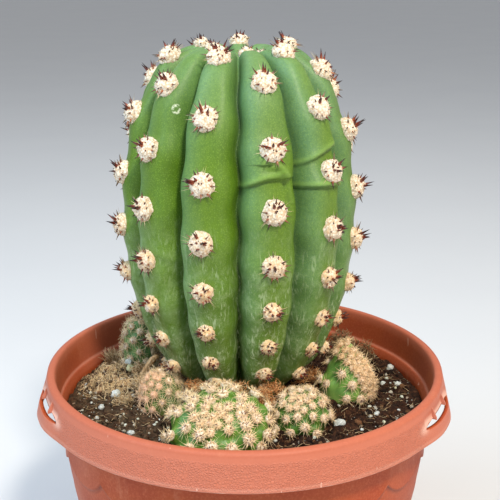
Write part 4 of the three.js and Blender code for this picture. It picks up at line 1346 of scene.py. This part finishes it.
def makePerlite():
    blocks, blush = [], []
    rng = np.random.default_rng(12)
    small = []
    while len(small) < crumbs["small"]:
        a, r = rng.random() * fullTurn, 30 + 62 * rng.random() ** 0.6
        x, y, _ = polar(r, a, 0.0)
        if x > -20 and rng.random() < 0.6:  # most of them lie on the left
            continue
        if not buried((x, y, float(mixTop(x, y)) + 1.2), None):
            small.append((x, y, 0.38 + 1.1 * rng.random() ** 2.4, 0.6 * rng.random() ** 2))
    fineBall, plainBall = icoBall(3), icoBall(2)
    for x, y, size, yellow in [(*grain, 0.0) for grain in grains] + grainsOnMat + small:
        own, faces = fineBall if size > 1.3 else plainBall
        shape = own * (size * (1 + 0.3 * softNoise(own, 0.6, x)))[:, None] * [1.0, 0.8, 0.72]
        turn = rng.random() * fullTurn
        c, s = math.cos(turn), math.sin(turn)
        shape = shape @ np.array([[c, s, 0], [-s, c, 0], [0, 0, 1]])
        lift = 9.0 if (x, y, size, yellow) in grainsOnMat else 0.3
        blocks.append((shape + [x, y, float(mixTop(x, y)) + size * 0.35 + lift], faces))
        blush.append(np.full(len(own), yellow))
    return meshPiece("perlite_grains", *joined(blocks), perliteFinish(), blush=np.concatenate(blush))


def icoBall(steps):
    made = bmesh.new()
    bmesh.ops.create_icosphere(made, subdivisions=steps, radius=1.0)
    points = np.array([tuple(v.co) for v in made.verts])
    faces = [tuple(v.index for v in face.verts) for face in made.faces]
    made.free()
    return points, faces


hand(makePerlite(), None)
print("perlite made")

# dry growth: straw mat, spent flowers, tuft and litter

dry = {
    "mat": (-73.5, 18.5, 16.5, 11.5), "tuft": (-78.5, 45.5, 4.0, 12.0),
    "stub": [(9.5, -22.5, 113), (9.5, -22.5, 122), (9.9, -22.9, 130), (9.7, -23.5, 136)],
    "tube": [(-58, 10, 123), (-56, 8.5, 128.5), (-53.5, 8, 133), (-51, 8.5, 136.5), (-48.5, 9.5, 138.5)],
    "tubeWidths": (1.9, 1.7, 1.4, 1.6, 1.0), "stubWidths": (3.3, 3.2, 2.6, 1.6),
    # loose heaps, each as x, y, z, width, height, count
    "rustFluff": [(9, -32, 129, 7, 9, 620), (-6, -29, 137, 9, 3, 160), (-24, -25, 136, 9, 3, 200),
                  (14, -27, 136, 7, 3, 160), (-41, -6, 138, 5, 3, 200), (37, 12, 126, 7, 5, 260)],
    "strawFluff": [(-55, 0, 125, 8, 8, 620), (-57, 13, 129, 7, 5, 320), (-66, -8, 119, 8, 4, 260),
                   (57, 47, 130, 9, 9, 860), (68, 43, 125, 9, 9, 560)],
    "darkRight": 50.0,  # heaps further right than this are dark
    "strawFibres": 1700, "litterFibres": 900, "remains": 1500, "tuftFibres": 260,
    "matShade": 0.38, "tubeShade": 0.3,
    "straws": ((0.0, paint(88, 62, 42)), (0.2, paint(152, 122, 88)), (0.5, paint(208, 176, 132)),
               (0.8, paint(244, 220, 176)), (1.0, paint(226, 198, 168))),
    "mossy": paint(146, 134, 98),
    "rusts": ((0.0, paint(126, 68, 36)), (0.3, paint(190, 118, 66)), (0.6, paint(230, 166, 104)),
              (1.0, paint(246, 208, 156))),
    "rustPatch": paint(168, 102, 60),
    "petals": ((0.3, paint(140, 100, 66)), (0.46, paint(196, 152, 104)), (0.62, paint(228, 192, 146)),
               (0.8, paint(240, 216, 180))),
}


def strands(name, fibres, material):  # thin three-sided fibres, each as a path, a width and a shade
    blocks, chance = [], []
    for path, width, shade in fibres:
        path = np.asarray(path, float)
        along = np.gradient(path, axis=0)
        along /= np.maximum(np.linalg.norm(along, axis=1, keepdims=True), 1e-9)
        side = np.cross(along, [0.31, 0.17, 0.94])
        side /= np.maximum(np.linalg.norm(side, axis=1, keepdims=True), 1e-9)
        other = np.cross(along, side)
        n = len(path)
        taper = np.linspace(1.0, 0.35, n)[:, None] * width
        turns = (0, fullTurn / 3, 2 * fullTurn / 3)
        rings = [path + taper * (side * math.cos(a) + other * math.sin(a)) for a in turns]
        faces = [face for i in range(n - 1) for face in tubeFaces(3, i * 3)]
        faces += [(2, 1, 0), (n * 3 - 3, n * 3 - 2, n * 3 - 1)]
        blocks.append((np.stack(rings, 1).reshape(-1, 3), faces))
        chance.append(np.full(n * 3, shade))
    return meshPiece(name, *joined(blocks), material, chance=np.concatenate(chance))


def strandFinish(name, roughness, specular, shades, patch):  # patch: scale, from, to, how strong, colour
    material, tree, shader = finishOf(name, roughness, specular)
    scale, *coat = patch
    colour = coated(tree, ramp(tree, mark(tree, "chance"), shades), (cloud(tree, scale, 4, 0.7), *coat))
    wear(tree, shader, colour, relief(tree, cloud(tree, 1800, 3, 0.6), 0.0003, 0.6))
    return material


def inPot(point, margin=1.2):
    point = np.array(point, float)
    far = math.hypot(point[0], point[1])
    most = float(bodyRadius(min(point[2], 122.0))) - pot["wall"] - margin
    if far > most:
        point[:2] *= most / far
    return point


def matTop(x, y):
    mx, my, radius, high = dry["mat"]
    d = np.hypot(x - mx, y - my) / radius
    uneven = 0.82 + 0.18 * np.sin(0.5 * x + 1) * np.cos(0.43 * y)
    return mixTop(x, y) + high * np.clip(1 - d**2, 0, 1) ** 0.8 * uneven


def makeMat(material):
    mx, my, radius, _ = dry["mat"]
    columns, rings = 72, 26
    angle = np.arange(columns) / columns * fullTurn
    centre, points = np.array([mx, my, 0]), []
    for part in np.linspace(0, 1, rings + 1)[1:]:
        spots = centre + polar(radius * part, angle, 0.0)
        spots[:, 2] = matTop(spots[:, 0], spots[:, 1]) - (1.0 if part > 0.99 else 0.0)
        points.append(spots)
    points = np.concatenate([[[mx, my, float(matTop(mx, my))]], *points])
    points[:, 2] += (2.2 * softNoise(points, 6.0, 4.0) + 1.3 * softNoise(points, 2.4, 7.0)
                     + 0.6 * softNoise(points, 1.1, 9.0) - 0.5)
    low = [centre + polar(0.8 * radius, angle, 113.0), [[mx, my, 113.0]]]
    points = np.array([inPot(point) for point in np.concatenate([points, *low])])
    chance = np.full(len(points), dry["matShade"])
    return meshPiece("dry_mat_core", points, ringFaces(rings + 1, columns), material, chance=chance)


def trail(x, y, count, wander, heightAt):  # a curved path; wander is its direction, curl and length
    turn, curl, long = wander
    path, step = [], long / (count - 1)
    for i in range(count):
        path.append((x, y, heightAt(x, y, i / (count - 1))))
        x, y, turn = x + math.cos(turn) * step, y + math.sin(turn) * step, turn + curl
    return path


def matFibres(rng):
    mx, my, radius, _ = dry["mat"]
    fibres = []
    for _ in range(dry["strawFibres"]):
        a, part = rng.random() * fullTurn, math.sqrt(rng.random()) * 1.25
        x, y, _ = polar(radius * part, a, 0.0)
        wander = rng.random() * fullTurn, rng.uniform(-1.1, 1.1), rng.uniform(1.5, 6.0)
        climb, sag = rng.random() ** 1.5 * 0.9 * wander[2], rng.uniform(0.3, 1.0)
        path = trail(mx + x, my + y, 5, wander, lambda x, y, t: (
            float(matTop(x, y)) - 0.4 + climb * (t - sag * t * t) * 1.6 + rng.uniform(-0.15, 0.3)))
        fibres.append(([inPot(point) for point in path], rng.uniform(0.1, 0.3), rng.random() ** 0.7))
    return fibres


def standing(x, y, radius, high, count, rng):  # fibres that stand up and droop over
    fibres = []
    for _ in range(count):
        a, part = rng.random() * fullTurn, math.sqrt(rng.random()) * radius
        px, py = x + part * math.sin(a), y - part * math.cos(a)
        z = float(mixTop(px, py)) - 0.5
        turn, tall, lean = rng.random() * fullTurn, rng.uniform(0.45, 1.0) * high, rng.uniform(0.1, 0.7)
        path = []
        for t in (0, 0.25, 0.5, 0.75, 1.0):
            out = lean * tall * t**1.6
            path.append(inPot((px + math.cos(turn) * out, py + math.sin(turn) * out,
                               z + tall * (t - 0.35 * lean * t * t))))
        fibres.append((path, rng.uniform(0.13, 0.3), rng.random()))
    return fibres


def tube(name, centre, radii, material, seed, ragged=0.25):
    centre = np.asarray(centre, float)
    sides, last = 20, len(centre) - 1
    t = np.linspace(0, last, 34)
    line = np.stack([np.interp(t, np.arange(last + 1), centre[:, k]) for k in range(3)], 1)
    wide = np.interp(t, np.linspace(0, last, len(radii)), radii)[:, None, None]
    along = np.gradient(line, axis=0)
    along /= np.linalg.norm(along, axis=1, keepdims=True)
    side = np.cross(along, [0, 1, 0.05])
    side /= np.linalg.norm(side, axis=1, keepdims=True)
    a = np.arange(sides)[None, :, None] / sides * fullTurn
    grid = line[:, None] + wide * (side[:, None] * np.cos(a) + np.cross(side, along)[:, None] * np.sin(a))
    flat, centres = grid.reshape(-1, 3), np.repeat(line, sides, axis=0)
    wild = 1 + ragged * softNoise(flat, 1.2, seed) + 0.12 * np.tile(np.cos(a.ravel() * 6), len(line))
    points = capped(line[0], [centres + (flat - centres) * wild[:, None]], line[-1])
    shade = np.full(len(points), dry["tubeShade"])
    return meshPiece(name, points, ringFaces(len(line), sides), material, chance=shade)


def flowerFinish():
    material, tree, shader = finishOf("spentFlower", 0.85, 0.25)
    streaks = cloud(tree, 600, 4, 0.7, stretch=(1, 1, 0.3))
    wear(tree, shader, ramp(tree, streaks, dry["petals"]), relief(tree, streaks, 0.0008, 0.8))
    return material


def litterFibres(rng):
    fibres = []
    while len(fibres) < dry["litterFibres"]:
        a, r = rng.random() * fullTurn, 34 + 59 * math.sqrt(rng.random())
        x, y, _ = polar(r, a, 0.0)
        if buried((x, y, float(mixTop(x, y)) + 1.2), None):
            continue
        wander = rng.random() * fullTurn, rng.uniform(-0.6, 0.6), rng.uniform(2.0, 7.0)
        path = trail(x, y, 4, wander, lambda x, y, t: float(mixTop(x, y)) + 0.9 + rng.uniform(-0.2, 0.9))
        fibres.append(([inPot(point) for point in path], rng.uniform(0.07, 0.17), rng.random() ** 1.5 * 0.9))
    return fibres


def fluffed(heaps, rng):  # loose balls of curled fibres

    def wild(spread):
        return Vector([rng.gauss(0, spread) for _ in range(3)])

    fibres = []
    for x, y, z, wide, high, count in heaps:
        for _ in range(count):
            at = wild(1).normalized() * rng.random() ** 0.5
            path, heading = [], wild(1).normalized()
            point = Vector((x + at.x * wide, y + at.y * wide * 0.6, z + at.z * high))
            for _ in range(4):
                path.append(tuple(point))
                point = point + heading * rng.uniform(0.6, 1.6)
                heading = (heading + wild(0.5)).normalized()
            if any(buried(spot, None) for spot in path):
                continue
            shades = (0.0, 0.34) if x > dry["darkRight"] else (0.2, 1.0)
            fibres.append((path, rng.uniform(0.12, 0.26), rng.uniform(*shades)))
    return fibres


def remains(rng):  # flower remains that gather under the barrel, in front and on its left
    fibres = fluffed(dry["rustFluff"], rng)
    for _ in range(dry["remains"]):
        angle = math.radians(rng.uniform(-100, 80))
        r = rng.uniform(27, 50)
        x, y, _ = polar(r, angle, 0.0)
        wander = rng.random() * fullTurn, rng.uniform(-0.6, 0.6), rng.uniform(2.5, 6.0)
        high = rng.uniform(0.2, 9.0) * (1 - float(smooth(40, 50, r)))
        path = trail(stem["axis"][0] + x, stem["axis"][1] + y, 4, wander,
                     lambda x, y, t: float(mixTop(x, y)) + high + rng.uniform(-0.3, 0.6))
        if any(buried(point, None) for point in path):
            continue
        fibres.append((path, rng.uniform(0.12, 0.26), rng.random()))
    return fibres


strawMaterial = strandFinish("dryStraw", 0.8, 0.3, dry["straws"], (150, 0.45, 0.66, 0.4, dry["mossy"]))
rustMaterial = strandFinish("rustyRemains", 0.85, 0.25, dry["rusts"], (300, 0.4, 0.7, 0.5, dry["rustPatch"]))
flowerMaterial = flowerFinish()
rng = random.Random(77)
mat = hand(makeMat(strawMaterial), "dry_mat")
hand(grow("dry_mat_crumbs", mat, crumbNodes, {
    "Density": crumbs["onMat"] * 1e6, "Small": 0.3, "Large": 1.5, "Detail": 1, "Ragged": 1.2, "Seed": 14}),
    None)
hand(strands("dry_mat_fibres", matFibres(rng), strawMaterial), None)
hand(tube("spent_flower", dry["tube"], dry["tubeWidths"], flowerMaterial, 4.0), None)
hand(strands("dry_tuft_fibres", standing(*dry["tuft"], dry["tuftFibres"], rng), strawMaterial), "dry_tuft")
hand(tube("flower_stub", dry["stub"], dry["stubWidths"], flowerMaterial, 9.0, 0.35), "dry_flower_stub")
hand(strands("litter_fibres", litterFibres(rng), strawMaterial), None)
rusty = remains(rng)
hand(strands("straw_fluff", fluffed(dry["strawFluff"], rng), strawMaterial), None)
hand(strands("rusty_remains", rusty, rustMaterial), None)
dropSeat(ground)
print("dry growth made")

# floor

floorLook = {"half": 8.0, "pale": (0.74, 0.75, 0.77, 1), "patch": (0.70, 0.71, 0.74, 1)}


def makeFloor():
    material, tree, shader = finishOf("paleFloor", 0.75, 0.25)
    wear(tree, shader, tint(tree, cloud(tree, 6, 3, 0.5), floorLook["pale"], floorLook["patch"]))
    half = floorLook["half"] / mm
    corners = [(-half, -half, 0), (half, -half, 0), (half, half, 0), (-half, half, 0)]
    return meshPiece("floor", corners, [(0, 1, 2, 3)], material)


makeFloor()
